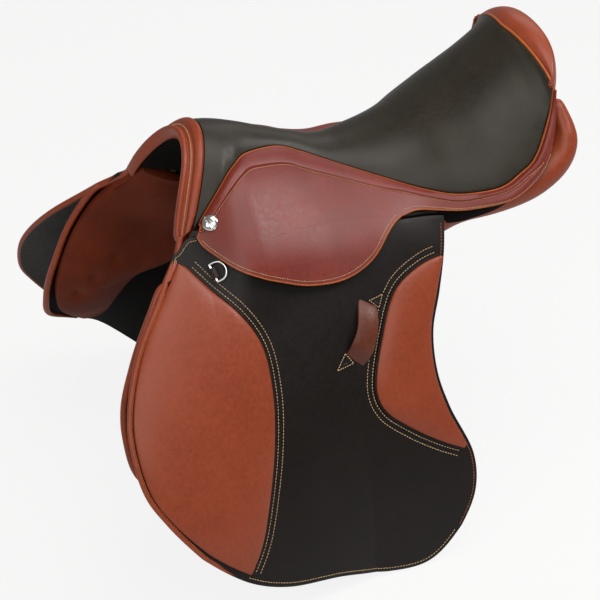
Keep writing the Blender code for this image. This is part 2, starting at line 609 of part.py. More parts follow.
def make_panels(materials):
    # The rear pad is a sausage swept from the waist to the cantle; its section is a flattened oval
    spine = smooth_curve([(-0.112, 0.066, -0.014), (-0.05, 0.069, -0.022), (0.03, 0.072, -0.008), (0.075, 0.076, 0.004),
                          (0.11, 0.083, 0.021), (0.15, 0.087, 0.033), (0.200, 0.086, 0.048), (0.233, 0.082, 0.070),
                          (0.246, 0.078, 0.104)])
    count, around = 17, 14
    u = np.linspace(0, 1, count)
    path = spine(u)
    across, rise = path_frames(path, np.array((0.0, 0.0, 1.0)))
    across *= np.sign(across[:, 1:2])
    ends = np.sqrt(np.clip(1 - np.clip(np.abs(2 * u - 1) * 1.18 - 0.18, 0, 0.98) ** 5, 0.02, 1))
    half_width = np.interp(path[:, 0], (-0.11, 0.03, 0.08, 0.12, 0.20, 0.25), (0.034, 0.034, 0.034, 0.043, 0.045, 0.036))
    half_height = np.interp(path[:, 0], (-0.11, -0.03, 0.08, 0.15, 0.25), (0.016, 0.018, 0.021, 0.022, 0.019))
    half_width, half_height = half_width * ends, half_height * ends
    tilt = np.interp(u, (0, 0.3, 0.6, 1), (-0.45, -0.30, -0.20, -0.10))
    angles = np.arange(around) * 2 * math.pi / around
    a = np.sign(np.cos(angles)) * np.abs(np.cos(angles)) ** 0.8
    b = np.sign(np.sin(angles)) * np.abs(np.sin(angles)) ** 0.8
    wide = np.cos(tilt)[:, None] * across + np.sin(tilt)[:, None] * rise
    tall = -np.sin(tilt)[:, None] * across + np.cos(tilt)[:, None] * rise
    rings = (path[:, None] + wide[:, None] * (half_width[:, None] * a)[..., None]
             + tall[:, None] * (half_height[:, None] * b)[..., None])

    # The front pad fans out under the flap from the head of the gullet to the knee
    front = smooth_curve([(-0.196, 0.026, 0.086), (-0.214, 0.069, 0.062), (-0.241, 0.115, 0.022), (-0.269, 0.132, -0.018),
                          (-0.305, 0.140, -0.082), (-0.313, 0.147, -0.125), (-0.308, 0.161, -0.160), (-0.290, 0.175, -0.187),
                          (-0.252, 0.192, -0.212)])
    back = smooth_curve([(-0.150, 0.024, 0.036), (-0.144, 0.044, 0.014), (-0.136, 0.080, -0.024), (-0.128, 0.108, -0.056),
                         (-0.137, 0.125, -0.090), (-0.160, 0.131, -0.113), (-0.195, 0.145, -0.130), (-0.216, 0.160, -0.158),
                         (-0.226, 0.182, -0.195)])
    v = np.linspace(0, 1, 15)
    w = np.linspace(0, 1, 8)[None, :, None]
    f, r = front(v)[:, None], back(v)[:, None]
    mid = (1 - w) * f + w * r
    reach = sweat_half_width(mid[..., 0], mid[..., 2]) - SWEAT_THICK - 0.0075
    skin = side_half_width(mid[..., 0], mid[..., 2]) - FLAP_THICK - 0.0075
    mid[..., 1] = np.minimum(mid[..., 1], np.where(mid[..., 2] < 0.015, reach, skin))
    normal = unit(np.cross(np.gradient(mid, axis=0), np.gradient(mid, axis=1)))
    normal *= np.sign(normal[7, 4, 1])
    swell = (np.sin(math.pi * w[..., 0]) ** 0.6) * (np.sin(math.pi * np.clip(v, 0.03, 0.97))[:, None] ** 0.5)
    outer = mid + normal * 0.003
    inner = mid - normal * (0.005 + 0.016 * swell)[..., None]
    sweat = coons(smooth_curve([(-0.262, 0.000), (-0.18, -0.030), (-0.06, -0.045), (0.058, -0.040)]),
                  smooth_curve([(-0.243, -0.235), (-0.193, -0.272), (-0.13, -0.292), (-0.05, -0.298), (0.03, -0.280)]),
                  smooth_curve([(-0.262, 0.000), (-0.292, -0.052), (-0.312, -0.095), (-0.315, -0.130),
                                (-0.311, -0.160), (-0.300, -0.183), (-0.278, -0.205), (-0.243, -0.235)]),
                  smooth_curve([(0.058, -0.040), (0.044, -0.12), (0.042, -0.20), (0.03, -0.280)]), 10, 12)
    block = coons(smooth_curve([(-0.270, -0.050), (-0.245, -0.040)]), smooth_curve([(-0.280, -0.150), (-0.252, -0.152)]),
                  smooth_curve([(-0.270, -0.050), (-0.290, -0.100), (-0.280, -0.150)]),
                  smooth_curve([(-0.245, -0.040), (-0.262, -0.100), (-0.252, -0.152)]), 9, 7)
    for name, side in SIDES:
        add_object("panel_rear_" + name, *loft(rings), materials["tan"], side, 60)
        add_object("panel_front_" + name, *sheet(outer, inner), materials["suede"], side, 60)
        layers = (sweat_layer(sweat[..., 0], sweat[..., 1], lift) for lift in (0.0, -SWEAT_THICK))
        add_object("sweat_flap_" + name, *sheet(*layers), materials["tan"], side)
        add_object("knee_block_" + name, *sheet(*pad_layers(sweat_layer, block, 0.0018, 0.003, 0.012)),
                   materials["tan"], side, 60)


# Ironmongery and straps

def bar_frame():
    # Origin at the middle of the stirrup bar, with axes along it, up the side and out from the side
    x_front, x_rear, z = BAR_AT
    ends = side_layer(np.array([x_front, x_rear]), z, 0.0)
    middle = side_layer((x_front + x_rear) / 2, z, np.array(0.0))
    along = unit(ends[1] - ends[0])
    above = side_layer((x_front + x_rear) / 2, z + 0.008, np.array(0.0))
    below = side_layer((x_front + x_rear) / 2, z - 0.008, np.array(0.0))
    up = above - below
    up = unit(up - along * np.dot(up, along))
    out = np.cross(up, along)
    out *= np.sign(out[1])
    return middle, along, up, out


def prism(profile, origin, first, second, third, low, high):
    # A flat outline in the plane of first and second, given depth along third
    profile = np.asarray(profile, float)
    base = origin + profile[:, :1] * first + profile[:, 1:] * second
    count = len(profile)
    points = np.concatenate([base + third * low, base + third * high])
    faces = [tuple(range(count - 1, -1, -1)), tuple(range(count, 2 * count))]
    faces += [(j, (j + 1) % count, (j + 1) % count + count, j + count) for j in range(count)]
    return points, faces


def lever_outline(pivot, near, end, far, steps=6):
    # A lever seen from above: a small round end about its pivot and a larger one at its tip
    angles = np.linspace(math.pi / 2, 3 * math.pi / 2, steps)
    start = [(pivot + near * math.cos(a), near * math.sin(a)) for a in angles]
    angles = np.linspace(-math.pi / 2, math.pi / 2, steps)
    return start + [(end - far + far * math.cos(a), far * math.sin(a)) for a in angles]


def make_stirrup_bars(materials):
    middle, along, up, out = bar_frame()
    low, high = BAR_OUT
    plate_low, plate_high = BAR_PLATE
    half_step = (low + high) / 2
    profile = [(0.046, plate_low), (0.046, plate_high), (-0.044, plate_high), (-0.047, plate_high + 0.0025),
               (-0.047, low - 0.0025), (-0.044, low), (0.044, low), (0.044, half_step), (0.035, half_step),
               (0.035, high), (-0.050, high), (-0.055, high - 0.004), (-0.055, plate_low)]
    pin = [(CATCH_AXIS_ALONG + 0.0014 * math.cos(k * math.pi / 4), 0.0014 * math.sin(k * math.pi / 4)) for k in range(8)]
    catch = lever_outline(CATCH_AXIS_ALONG, 0.0043, 0.056, 0.0055)
    hole = [(CATCH_AXIS_ALONG + 0.0018 * math.cos(k * math.pi / 4), 0.0018 * math.sin(k * math.pi / 4)) for k in range(8)]
    for name, side in SIDES:
        body = add_object("stirrup_bar_" + name,
                          *prism(profile, middle, along, out, up, -BAR_HEIGHT / 2, BAR_HEIGHT / 2),
                          materials["chrome"], side)
        rivet = add_object("catch_rivet_" + name, *prism(pin, middle, along, up, out, half_step - 0.001, high + 0.0004),
                           materials["chrome"], side)
        cut(body, rivet, "UNION")
        lever = add_object("bar_catch_" + name, *prism(catch, middle, along, up, out, half_step + GAP, high),
                           materials["chrome"], side)
        cutter = add_object("catch_hole_" + name, *prism(hole, middle, along, up, out, -0.02, 0.02),
                            materials["chrome"], side)
        cut(lever, cutter)


def cut(item, cutter, operation="DIFFERENCE"):
    cutter.hide_render = True
    cutter.display_type = "WIRE"
    boolean = item.modifiers.new("cut", "BOOLEAN")
    boolean.operation = operation
    boolean.object = cutter
    boolean.solver = "EXACT"


def set_pivot(item, pivot):
    # Moves an object's origin to its pivot without moving its mesh in the world
    pivot = np.asarray(pivot, float)
    mesh = item.data
    count = len(mesh.vertices)
    points = np.empty(count * 3)
    mesh.vertices.foreach_get("co", points)
    mesh.vertices.foreach_set("co", (points.reshape(-1, 3) - pivot).ravel())
    item.location = pivot
    mesh.update()


def make_nails(materials):
    # Domed screw heads that hold skirt and flap to the points of the tree
    at = side_layer(-0.180, 0.056, np.array(SKIRT_LIFT + SKIRT_THICK + 0.0020))
    out = unit(side_layer(-0.180, 0.056, np.array(0.01)) - side_layer(-0.180, 0.056, np.array(0.0)))
    first = unit(np.cross(out, (0.0, 0.0, 1.0)))
    second = np.cross(out, first)
    rings = []
    for radius, rise in ((0.0082, 0.0), (0.0085, 0.0008), (0.0072, 0.0026), (0.0045, 0.0038), (0.0018, 0.0042)):
        ring = circle(radius, 12)
        rings.append(at + out * rise + ring[:, :1] * first + ring[:, 1:] * second)
    along = unit(first + 0.9 * second)
    slot = prism([(-0.012, -0.0009), (0.012, -0.0009), (0.012, 0.0009), (-0.012, 0.0009)], at, along,
                 np.cross(out, along), out, 0.0024, 0.0060)
    for name, side in SIDES:
        nail = add_object("skirt_nail_" + name, *loft(rings), materials["chrome"], side, 30)
        cut(nail, add_object("nail_slot_" + name, *slot, materials["chrome"], side))


def make_dees(materials):
    # A ring under the front of the skirt, its straight side held to the flap by a leather chape
    corner = side_layer(-0.1900, 0.0130, np.array(0.0044))
    down = unit(side_layer(-0.1840, -0.006, np.array(0.0044)) - corner)
    out = unit(side_layer(-0.184, 0.015, np.array(0.01)) - side_layer(-0.184, 0.015, np.array(0.0)))
    down = unit(down - out * np.dot(down, out))
    back = np.cross(out, down)
    back *= np.sign(back[0])
    half, reach, wire = 0.0105, 0.015, 0.0014
    outline = [(-half, 0.0), (0.0, 0.0), (half, 0.0)]
    outline += [(half * math.cos(k * math.pi / 8), 0.005 + (reach - 0.005) * math.sin(k * math.pi / 8)) for k in range(9)]
    outline = np.array(outline)
    path = corner + outline[:, :1] * down + outline[:, 1:] * back
    tangent = unit(np.roll(path, -1, axis=0) - np.roll(path, 1, axis=0))
    sideways = unit(np.cross(tangent, out))
    ring = circle(wire, 6)
    rings = path[:, None] + ring[None, :, :1] * sideways[:, None] + ring[None, :, 1:] * out
    chape = [(0.0022 * math.cos(k * math.pi / 4), 0.0022 * math.sin(k * math.pi / 4)) for k in range(8)]
    outer = [(0.0042 * math.cos(k * math.pi / 4), 0.0028 * math.sin(k * math.pi / 4)) for k in range(8)]
    for name, side in SIDES:
        dee = add_object("dee_" + name, *closed_loop(rings), materials["chrome"], side)
        strap = add_object("dee_chape_" + name, *prism(outer, corner, back, out, down, -0.006, 0.006),
                           materials["strap"], side)
        bore = add_object("chape_bore_" + name, *prism(chape, corner, back, out, down, -0.02, 0.02),
                          materials["strap"], side)
        cut(strap, bore)
        set_pivot(dee, corner * (1, side, 1))


def make_keepers(materials):
    # A stitched loop on the flap that holds the stirrup leather
    line = np.array([(-0.001, -0.036), (-0.010, -0.043), (-0.017, -0.049), (-0.025, -0.056), (-0.038, -0.067),
                     (-0.050, -0.077), (-0.057, -0.083), (-0.064, -0.089), (-0.073, -0.096)])
    lift = np.array([0.0024, 0.0022, 0.0050, 0.0100, 0.0112, 0.0100, 0.0050, 0.0022, 0.0024])
    path = smooth_curve(side_layer(line[:, 0], line[:, 1], lift))(np.linspace(0, 1, 19))
    out = side_layer(line[4, 0], line[4, 1], np.array(0.01)) - side_layer(line[4, 0], line[4, 1], np.array(0.0))
    rings = sweep(path, rounded_bar(0.022, 0.0022), unit(out))
    for name, side in SIDES:
        add_object("leather_keeper_" + name, *loft(rings), materials["oxblood"], side)


def make_straps(materials):
    # Three girth straps a side, each bent a little where it leaves its web, with a row of holes
    half, tip = STRAP_WIDTH / 2, 0.012
    low = -STRAP_LENGTH
    outline = [(-half, 0.012), (-half, low + tip), (-half * 0.5, low), (half * 0.5, low), (half, low + tip),
               (half, 0.012)]
    for name, side in SIDES:
        for index, x in enumerate(STRAP_X):
            origin = np.array((x, STRAP_Y, STRAP_TOP))
            strap = add_object(f"girth_strap_{name}_{index + 1}",
                               *prism(outline, origin, np.array((1.0, 0, 0)), np.array((0, 0, 1.0)),
                                      np.array((0, 1.0, 0)), -STRAP_THICK / 2, STRAP_THICK / 2),
                               materials["strap"], side)
            holes = []
            for k in range(STRAP_HOLES):
                z = low + 0.035 + 0.026 * k
                hole = [(0.0025 * math.cos(a * math.pi / 3), z + 0.0025 * math.sin(a * math.pi / 3)) for a in range(6)]
                holes.append(prism(hole, origin, np.array((1.0, 0, 0)), np.array((0, 0, 1.0)),
                                   np.array((0, 1.0, 0)), -0.01, 0.01))
            cut(strap, add_object(f"strap_holes_{name}_{index + 1}", *join_bodies(holes), materials["strap"], side))


def main():
    clear_scene()
    materials = make_materials()
    make_seat(materials)
    make_tree(materials)
    make_girth_webs(materials)
    make_skirts(materials)
    make_flaps(materials)
    make_piping(materials)
    make_facings(materials)
    make_panels(materials)
    make_stirrup_bars(materials)
    make_nails(materials)
    make_dees(materials)
    make_keepers(materials)
    make_straps(materials)


main()
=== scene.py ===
import math
import bpy
import numpy as np
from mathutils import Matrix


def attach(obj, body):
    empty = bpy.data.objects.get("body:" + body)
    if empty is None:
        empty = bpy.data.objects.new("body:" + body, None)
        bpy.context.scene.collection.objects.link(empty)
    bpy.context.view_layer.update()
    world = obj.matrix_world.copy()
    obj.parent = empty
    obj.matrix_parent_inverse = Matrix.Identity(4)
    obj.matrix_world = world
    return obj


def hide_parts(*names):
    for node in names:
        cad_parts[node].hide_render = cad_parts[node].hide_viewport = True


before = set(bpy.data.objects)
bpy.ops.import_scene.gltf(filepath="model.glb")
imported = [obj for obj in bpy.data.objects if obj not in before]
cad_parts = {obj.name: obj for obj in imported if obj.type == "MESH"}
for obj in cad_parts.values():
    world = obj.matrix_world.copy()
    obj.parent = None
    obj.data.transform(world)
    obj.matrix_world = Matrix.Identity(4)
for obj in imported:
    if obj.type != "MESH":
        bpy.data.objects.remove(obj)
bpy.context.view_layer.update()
sides = (("left", -1.0), ("right", 1.0))

# X runs back to the cantle, -Y is the near side, +Z is up; sizes are metres
# Every side shape is worked out on the +Y side with y as the half width, then mirrored


# Curves and small sums

def unit(v):
    return v / np.maximum(np.linalg.norm(v, axis=-1, keepdims=True), 1e-12)


def shares(count):  # equal steps from 0 to 1
    return np.linspace(0, 1, count)


def smoothStep(low, high, value):  # 0 below low, 1 above high, 3w2 - 2w3 between
    w = np.clip((np.asarray(value, float) - low) / (high - low), 0, 1)
    return w * w * (3 - 2 * w)


def hermite(knots, values, slopes, parameter):  # cubic with given slopes at its knots
    parameter = np.asarray(parameter, float)
    span = np.clip(np.searchsorted(knots, parameter, side="right") - 1, 0, len(knots) - 2)
    step = knots[span + 1] - knots[span]
    w = (parameter - knots[span]) / step
    if values.ndim > 1:
        w, step = w[..., None], step[..., None]
    return ((1 + 2 * w) * (1 - w) ** 2 * values[span] + w * (1 - w) ** 2 * step * slopes[span]
            + w * w * (3 - 2 * w) * values[span + 1] + w * w * (w - 1) * step * slopes[span + 1])


def smoothCurve(points):  # a curve through points; its parameter, 0 to 1, grows with the root of chord length
    points = np.asarray(points, float)
    chord = np.sqrt(np.linalg.norm(np.diff(points, axis=0), axis=1))
    knots = np.concatenate([[0.0], np.cumsum(chord)])
    knots = knots / knots[-1]
    steps = np.diff(knots)[:, None]
    chords = np.diff(points, axis=0) / steps
    slopes = np.repeat(chords[:1], len(points), axis=0)
    if len(points) > 2:
        slopes[1:-1] = (chords[:-1] * steps[1:] + chords[1:] * steps[:-1]) / (steps[1:] + steps[:-1])
    slopes[0] = 1.5 * chords[0] - 0.5 * slopes[1]
    slopes[-1] = 1.5 * chords[-1] - 0.5 * slopes[-2]
    return lambda parameter: hermite(knots, points, slopes, parameter)


def smoothTable(xs, ys):  # a smooth y(x) through a few values, held level past its ends
    xs, ys = np.asarray(xs, float), np.asarray(ys, float)
    slopes = np.gradient(ys, xs)
    slopes[[0, -1]] = 0
    return lambda x: hermite(xs, ys, slopes, np.clip(x, xs[0], xs[-1]))


def travelled(points):  # distance run along a line, from its first point to each point
    return np.concatenate([[0.0], np.cumsum(np.linalg.norm(np.diff(points, axis=0), axis=1))])


def carried(values, have, want):  # columns of values known at have, read off at want by straight lines
    return np.stack([np.interp(want, have, column) for column in np.asarray(values).T], axis=-1)


def evenly(points, count):  # the same line with equal steps
    run = travelled(points)
    return carried(points, run, np.linspace(0, run[-1], count))


def atShares(points, count):  # values carried along a line, taken again at even shares of their number
    return carried(points, shares(len(points)), shares(count))


def shifted(line, distance):  # a flat x, z line moved sideways by a distance, to the left of its run
    tangent = unit(np.gradient(line, axis=0))
    return line + np.stack([-tangent[:, 1], tangent[:, 0]], axis=-1) * distance


# Meshes

def meshPiece(name, points, faces, material, body, side=1.0, replaces=(), bevel=0.0, slot=None, uv=None,
              sharp=False):  # one object that rides a body, with its finish, edge and replaced nodes; its slot argument is not used
    points = np.asarray(points, float).reshape(-1, 3) * (1.0, side, 1.0)
    faces = np.asarray(faces, int)
    a, b, c = points[faces[:, 0]], points[faces[:, 1]], points[faces[:, 2]]
    volume = np.sum(np.cross(a, b) * c)
    if faces.shape[1] == 4:
        volume += np.sum(np.cross(a, c) * points[faces[:, 3]])
    if volume < 0:  # the mirrored side turns inside out, so its faces are turned back
        faces = faces[:, ::-1]
    mesh = bpy.data.meshes.new(name)
    mesh.from_pydata(points.tolist(), [], faces.tolist())
    mesh.shade_smooth()
    if sharp:
        mesh.set_sharp_from_angle(angle=math.radians(40))
    mesh.materials.append(material)
    if uv is not None:
        layer = mesh.uv_layers.new(name="UVMap")
        layer.data.foreach_set("uv", np.asarray(uv, float)[faces.ravel()].ravel())
    piece = bpy.data.objects.new(name, mesh)
    bpy.context.scene.collection.objects.link(piece)
    if bevel:
        edge = piece.modifiers.new("edge", "BEVEL")
        edge.width, edge.segments, edge.limit_method, edge.angle_limit = bevel, 2, "ANGLE", math.radians(40)
    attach(piece, body)
    if replaces:
        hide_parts(*replaces)
    return piece


def gridFaces(rows, cols, start=0, wrap=False):  # quads of a grid, wrapped round its columns if it is a tube
    i, j = np.meshgrid(np.arange(rows - 1), np.arange(cols if wrap else cols - 1), indexing="ij")
    a, b = i * cols + j, i * cols + (j + 1) % cols
    return start + np.stack([a, b, b + cols, a + cols], axis=-1).reshape(-1, 4)


def sheet(outer, inner):  # two grids of one size joined round their rims
    rows, cols = outer.shape[:2]
    count = rows * cols
    index = np.arange(count).reshape(rows, cols)
    rim = np.concatenate([index[0, :-1], index[:-1, -1], index[-1, :0:-1], index[:0:-1, 0]])
    after = np.roll(rim, -1)
    edge = np.stack([after, rim, rim + count, after + count], axis=-1)
    faces = np.concatenate([gridFaces(rows, cols), gridFaces(rows, cols, count)[:, ::-1], edge])
    return np.concatenate([outer.reshape(-1, 3), inner.reshape(-1, 3)]), faces


def tube(rings, closed=False):  # rings of one size; the ends close on their own centres unless it is a hoop
    rows, cols = rings.shape[:2]
    if closed:
        rings = np.concatenate([rings, rings[:1]])
        faces = gridFaces(rows + 1, cols, wrap=True)
        return rings[:-1].reshape(-1, 3), faces % (rows * cols)
    ends = [np.repeat(rings[k].mean(axis=0)[None], cols, axis=0)[None] for k in (0, -1)]
    rings = np.concatenate([ends[0], rings, ends[1]])
    return rings.reshape(-1, 3), gridFaces(rows + 2, cols, wrap=True)


def frames(path, up):  # unit vectors across and up, square to the path
    tangent = unit(np.gradient(path, axis=0))
    across = unit(np.cross(tangent, np.broadcast_to(up, path.shape)))
    return across, unit(np.cross(across, tangent))


def roundTube(path, radius, up, count):  # rings at centre + r (across cos a + up sin a)
    across, rise = frames(path, up)
    angle = (np.arange(count) * 2 * np.pi / count)[:, None]
    radius = np.broadcast_to(np.asarray(radius, float), len(path))[:, None, None]
    return path[:, None] + radius * (across[:, None] * np.cos(angle) + rise[:, None] * np.sin(angle))


def roundPiece(name, path, radius, material, body, side=1.0, count=12, up=(0.0, 1.0, 0.0), replaces=(),
               slot=None):  # piping, beads and rolls: a tube of one radius or of a radius per point
    meshPiece(name, *tube(roundTube(path, radius, up, count)), material, body, side, replaces, slot=slot)


def skin(layer, grid, high, low):  # a closed sheet between two lifts of one x, z grid above a surface
    return sheet(*(layer(grid[..., 0], grid[..., 1], lift) for lift in (high, low)))


def coons(borders, u, v):  # a grid that blends four border curves, less the share of its corners
    top, bottom, front, rear = borders
    t, b, f, r = top(u), bottom(u), front(v), rear(v)
    u, v = u[None, :, None], v[:, None, None]
    ruled = (1 - v) * t[None] + v * b[None] + (1 - u) * f[:, None] + u * r[:, None]
    return ruled - (1 - v) * ((1 - u) * t[0] + u * t[-1]) - v * ((1 - u) * b[0] + u * b[-1])


def clothMap(first, second):  # both skins of a sheet carry two lengths in metres as their UV map
    return np.tile(np.stack(np.meshgrid(first, second), axis=-1).reshape(-1, 2), (2, 1))


stitchMeshes = {}  # (thread, body) to a list of points, faces
stitchShape = {"pitch": 0.0036, "length": 0.0027, "width": 0.00085, "rise": 0.00035, "sink": 0.0002,
               "shoulder": 0.55, "tip": 0.35}


def sew(path, normal, thread, body, side=1.0, pitch=None, width=None):
    # Each stitch is a short tapered tube along the seam, its middle raised and both ends sunk in the leather
    shape = stitchShape
    pitch, width = pitch or shape["pitch"], width or shape["width"]
    run = travelled(path)
    count = max(int(run[-1] / pitch), 1)
    at = (np.arange(count) + 0.5) * run[-1] / count
    centre = carried(path, run, at)
    tangent, out = (unit(carried(values, run, at)) for values in (np.gradient(path, axis=0), normal))
    across = unit(np.cross(tangent, out))
    centre, tangent, out, across = (values[:, None, None] for values in (centre, tangent, out, across))
    along = np.array([-1.0, -shape["shoulder"], shape["shoulder"], 1.0])[:, None, None]
    along = along * shape["length"] / 2 * pitch / shape["pitch"]
    size = (np.array([shape["tip"], 1.0, 1.0, shape["tip"]]) * width / 2)[:, None, None]
    rise = np.array([-shape["sink"], shape["rise"], shape["rise"], -shape["sink"]])[:, None, None]
    angle = (np.arange(6) * np.pi / 3)[:, None]
    ring = centre + tangent * along + out * (rise + size * np.sin(angle)) + across * size * np.cos(angle)
    caps = np.array([[0, 5, 4, 3], [0, 3, 2, 1], [18, 19, 20, 21], [18, 21, 22, 23]])
    one = np.concatenate([gridFaces(4, 6, wrap=True), caps])
    faces = (one[None] + 24 * np.arange(count)[:, None, None]).reshape(-1, 4)
    points = ring.reshape(-1, 3) * (1, side, 1)
    if side < 0:
        faces = faces[:, ::-1]
    stitchMeshes.setdefault((thread, body), []).append((points, faces))


# The saddle's surfaces

seatShape = {
    "low": 0.0858, "lowX": -0.014, "cantleRise": 0.1012, "cantleRun": 0.223, "cantleSweep": 2.13,
    "ease": (-0.012, 0.024),  # x over which the crown's curve gives way to the power curve
    "bow": (0.93, 0.4),  # from this station on, the section bows back towards the cantle, and by how much
    # the crown of pommel and twist along the centre line, as x and z
    "crown": ((-0.185, 0.1345), (-0.155, 0.1322), (-0.147, 0.1305), (-0.117, 0.124), (-0.0835, 0.112),
              (-0.047, 0.099), (-0.014, 0.0882), (0.0, 0.0866), (0.03, 0.09)),
    # stations along the welt: x, half width and z at the edge, x on the centre line, roll of the section
    "welt": ((-0.199, 0.086, 0.05, -0.16, 0.64), (-0.166, 0.07, 0.083, -0.147, 0.72),
             (-0.1395, 0.0505, 0.1005, -0.134, 0.86), (-0.111, 0.0315, 0.1045, -0.112, 1.02),
             (-0.077, 0.022, 0.0998, -0.078, 1.05), (-0.0475, 0.024, 0.0882, -0.049, 0.98),
             (-0.005, 0.0405, 0.0715, -0.005, 0.9), (0.034, 0.065, 0.06, 0.032, 0.92),
             (0.084, 0.093, 0.046, 0.08, 1.05), (0.118, 0.114, 0.045, 0.11, 1.15),
             (0.15, 0.125, 0.05, 0.135, 1.15), (0.18, 0.126, 0.065, 0.16, 1.05),
             (0.205, 0.119, 0.087, 0.185, 0.88), (0.221, 0.106, 0.114, 0.202, 0.85),
             (0.23, 0.098, 0.149, 0.2105, 0.95)),
}
flapShape = {"topWidth": 0.118, "topZ": 0.025, "slope": 0.72, "curl": 0.88, "frontSplay": 0.714}
sweatShape = {"topWidth": 0.117, "swell": 0.01, "frontSwell": 0.026, "fade": 0.06, "flare": 3.2,
              "flareFrom": 0.11}
seatStation = smoothCurve(seatShape["welt"])
weltSamples = seatStation(shares(600))
crown = smoothTable(*zip(*seatShape["crown"]))
mergeHeight = smoothTable((-0.3, -0.18, -0.06, 0.1), (-0.08, -0.06, -0.03, -0.02))
topSlope = smoothTable((-0.2, -0.15, -0.05, 0.02, 0.09, 0.13), (-0.9, -1.6, -2.0, -2.2, -1.2, -0.8))


def stationAt(x):  # the share of the way along the welt at which it reaches x
    return np.interp(x, weltSamples[:, 0], shares(600))


def ridgeHeight(x):  # the crown's curve up to the pommel, eased into a power curve up to the cantle
    s = seatShape
    rear = s["low"] + s["cantleRise"] * (np.clip(x - s["lowX"], 0, None) / s["cantleRun"]) ** s["cantleSweep"]
    share = smoothStep(*s["ease"], x)
    return crown(x) * (1 - share) + rear * share


def seatPoint(s, t):  # each cross-section rolls over like a flattened arc from the centre to the welt
    s, t = np.broadcast_arrays(np.asarray(s, float), np.asarray(t, float))
    xEdge, yEdge, zEdge, xMid, roll = np.moveaxis(seatStation(s), -1, 0)
    fall = (1 - np.cos(t * roll)) / (1 - np.cos(roll))
    zMid = ridgeHeight(xMid)
    bowFrom, bowBy = seatShape["bow"]
    bow = fall ** (1 - bowBy * smoothStep(bowFrom, 1.0, s))
    x = xMid + (xEdge - xMid) * bow
    return np.stack([x, yEdge * np.sin(t * roll) / np.sin(roll), zMid - (zMid - zEdge) * fall], axis=-1)


def seatLayer(s, t, depth):  # a point under the seat's surface, along its normal
    s, t = np.broadcast_arrays(np.asarray(s, float), np.asarray(t, float))
    e = 1e-4
    along = seatPoint(np.clip(s + e, 0, 1), t) - seatPoint(np.clip(s - e, 0, 1), t)
    across = seatPoint(s, t + e) - seatPoint(s, t - e)
    return seatPoint(s, t) - unit(np.cross(along, across)) * np.asarray(depth, float)[..., None]


def weltPoint(s, distance, sink=0.0):  # a point past the seat's edge, square to the welt
    e = 1e-3
    edge = seatPoint(s, 1.0)
    along = unit(seatPoint(np.clip(s + e, 0, 1), 1.0) - seatPoint(np.clip(s - e, 0, 1), 1.0))
    outward = unit(edge - seatPoint(s, 1.0 - e))
    outward = unit(outward - along * np.sum(outward * along, axis=-1, keepdims=True))
    return edge + outward * distance - unit(np.cross(along, outward)) * sink


def flapHalfWidth(x, z):  # a sloping skin that curls in lower down and splays at the front
    drop = flapShape["topZ"] - z
    splay = flapShape["frontSplay"] * np.clip(-(x + 0.05), 0, 1) * np.clip(drop, 0, 1)
    return flapShape["topWidth"] + flapShape["slope"] * drop - flapShape["curl"] * drop ** 2 + splay


def sideHalfWidth(x, z):  # the hanging skin; above the merge height a cubic that rolls over to the welt
    x, z = np.broadcast_arrays(np.asarray(x, float), np.asarray(z, float))
    weltY = np.interp(x, weltSamples[:, 0], weltSamples[:, 1])
    weltZ = np.interp(x, weltSamples[:, 0], weltSamples[:, 2])
    merge, e = mergeHeight(x), 1e-4
    lowY = flapHalfWidth(x, merge)
    lowSlope = (flapHalfWidth(x, merge + e) - flapHalfWidth(x, merge - e)) / (2 * e)
    height = weltZ - merge
    w = np.clip((z - merge) / height, 0, 1.3)
    rolled = ((1 + 2 * w) * (1 - w) ** 2 * lowY + w * (1 - w) ** 2 * height * lowSlope
              + w * w * (3 - 2 * w) * weltY + w * w * (w - 1) * height * topSlope(x))
    return np.where(z < merge, flapHalfWidth(x, z), rolled)


def lifted(surface, x, z, lift):  # a point above a side surface y(x, z), along its normal
    x, z = np.broadcast_arrays(np.asarray(x, float), np.asarray(z, float))
    e = 4e-4
    slopeX = (surface(x + e, z) - surface(x - e, z)) / (2 * e)
    slopeZ = (surface(x, z + e) - surface(x, z - e)) / (2 * e)
    normal = unit(np.stack([-slopeX, np.ones_like(x), -slopeZ], axis=-1))
    lift = np.broadcast_to(np.asarray(lift, float), x.shape)
    return np.stack([x, surface(x, z), z], axis=-1) + normal * lift[..., None]


def sideLayer(x, z, lift):
    return lifted(sideHalfWidth, x, z, lift)


def outwardAt(x, z):  # the way straight out of the side surface
    return unit(sideLayer(x, z, 0.01) - sideLayer(x, z, 0.0))


def sweatHalfWidth(x, z):  # hangs steeper than the flap, swells to a limit and flares at its front
    s, drop = sweatShape, flapShape["topZ"] - z
    front = 1 - smoothStep(-0.24, -0.12, x)
    return (s["topWidth"] + (s["swell"] + s["frontSwell"] * front) * (1 - np.exp(-drop / s["fade"]))
            + s["flare"] * front * np.clip(drop - s["flareFrom"], 0, 1) ** 2)


def sweatLayer(x, z, lift):
    return lifted(sweatHalfWidth, x, z, lift)


def onSurface(layer, line, lift):  # points and normals along an x, z line
    points = layer(line[:, 0], line[:, 1], lift)
    return points, unit(layer(line[:, 0], line[:, 1], np.asarray(lift) + 0.002) - points)


print("surfaces ready")


# Materials

def linear(code):  # sRGB hex to linear light
    v = np.array([int(code[k:k + 2], 16) for k in (1, 3, 5)]) / 255
    return (*np.where(v <= 0.04045, v / 12.92, ((v + 0.055) / 1.055) ** 2.4).tolist(), 1.0)


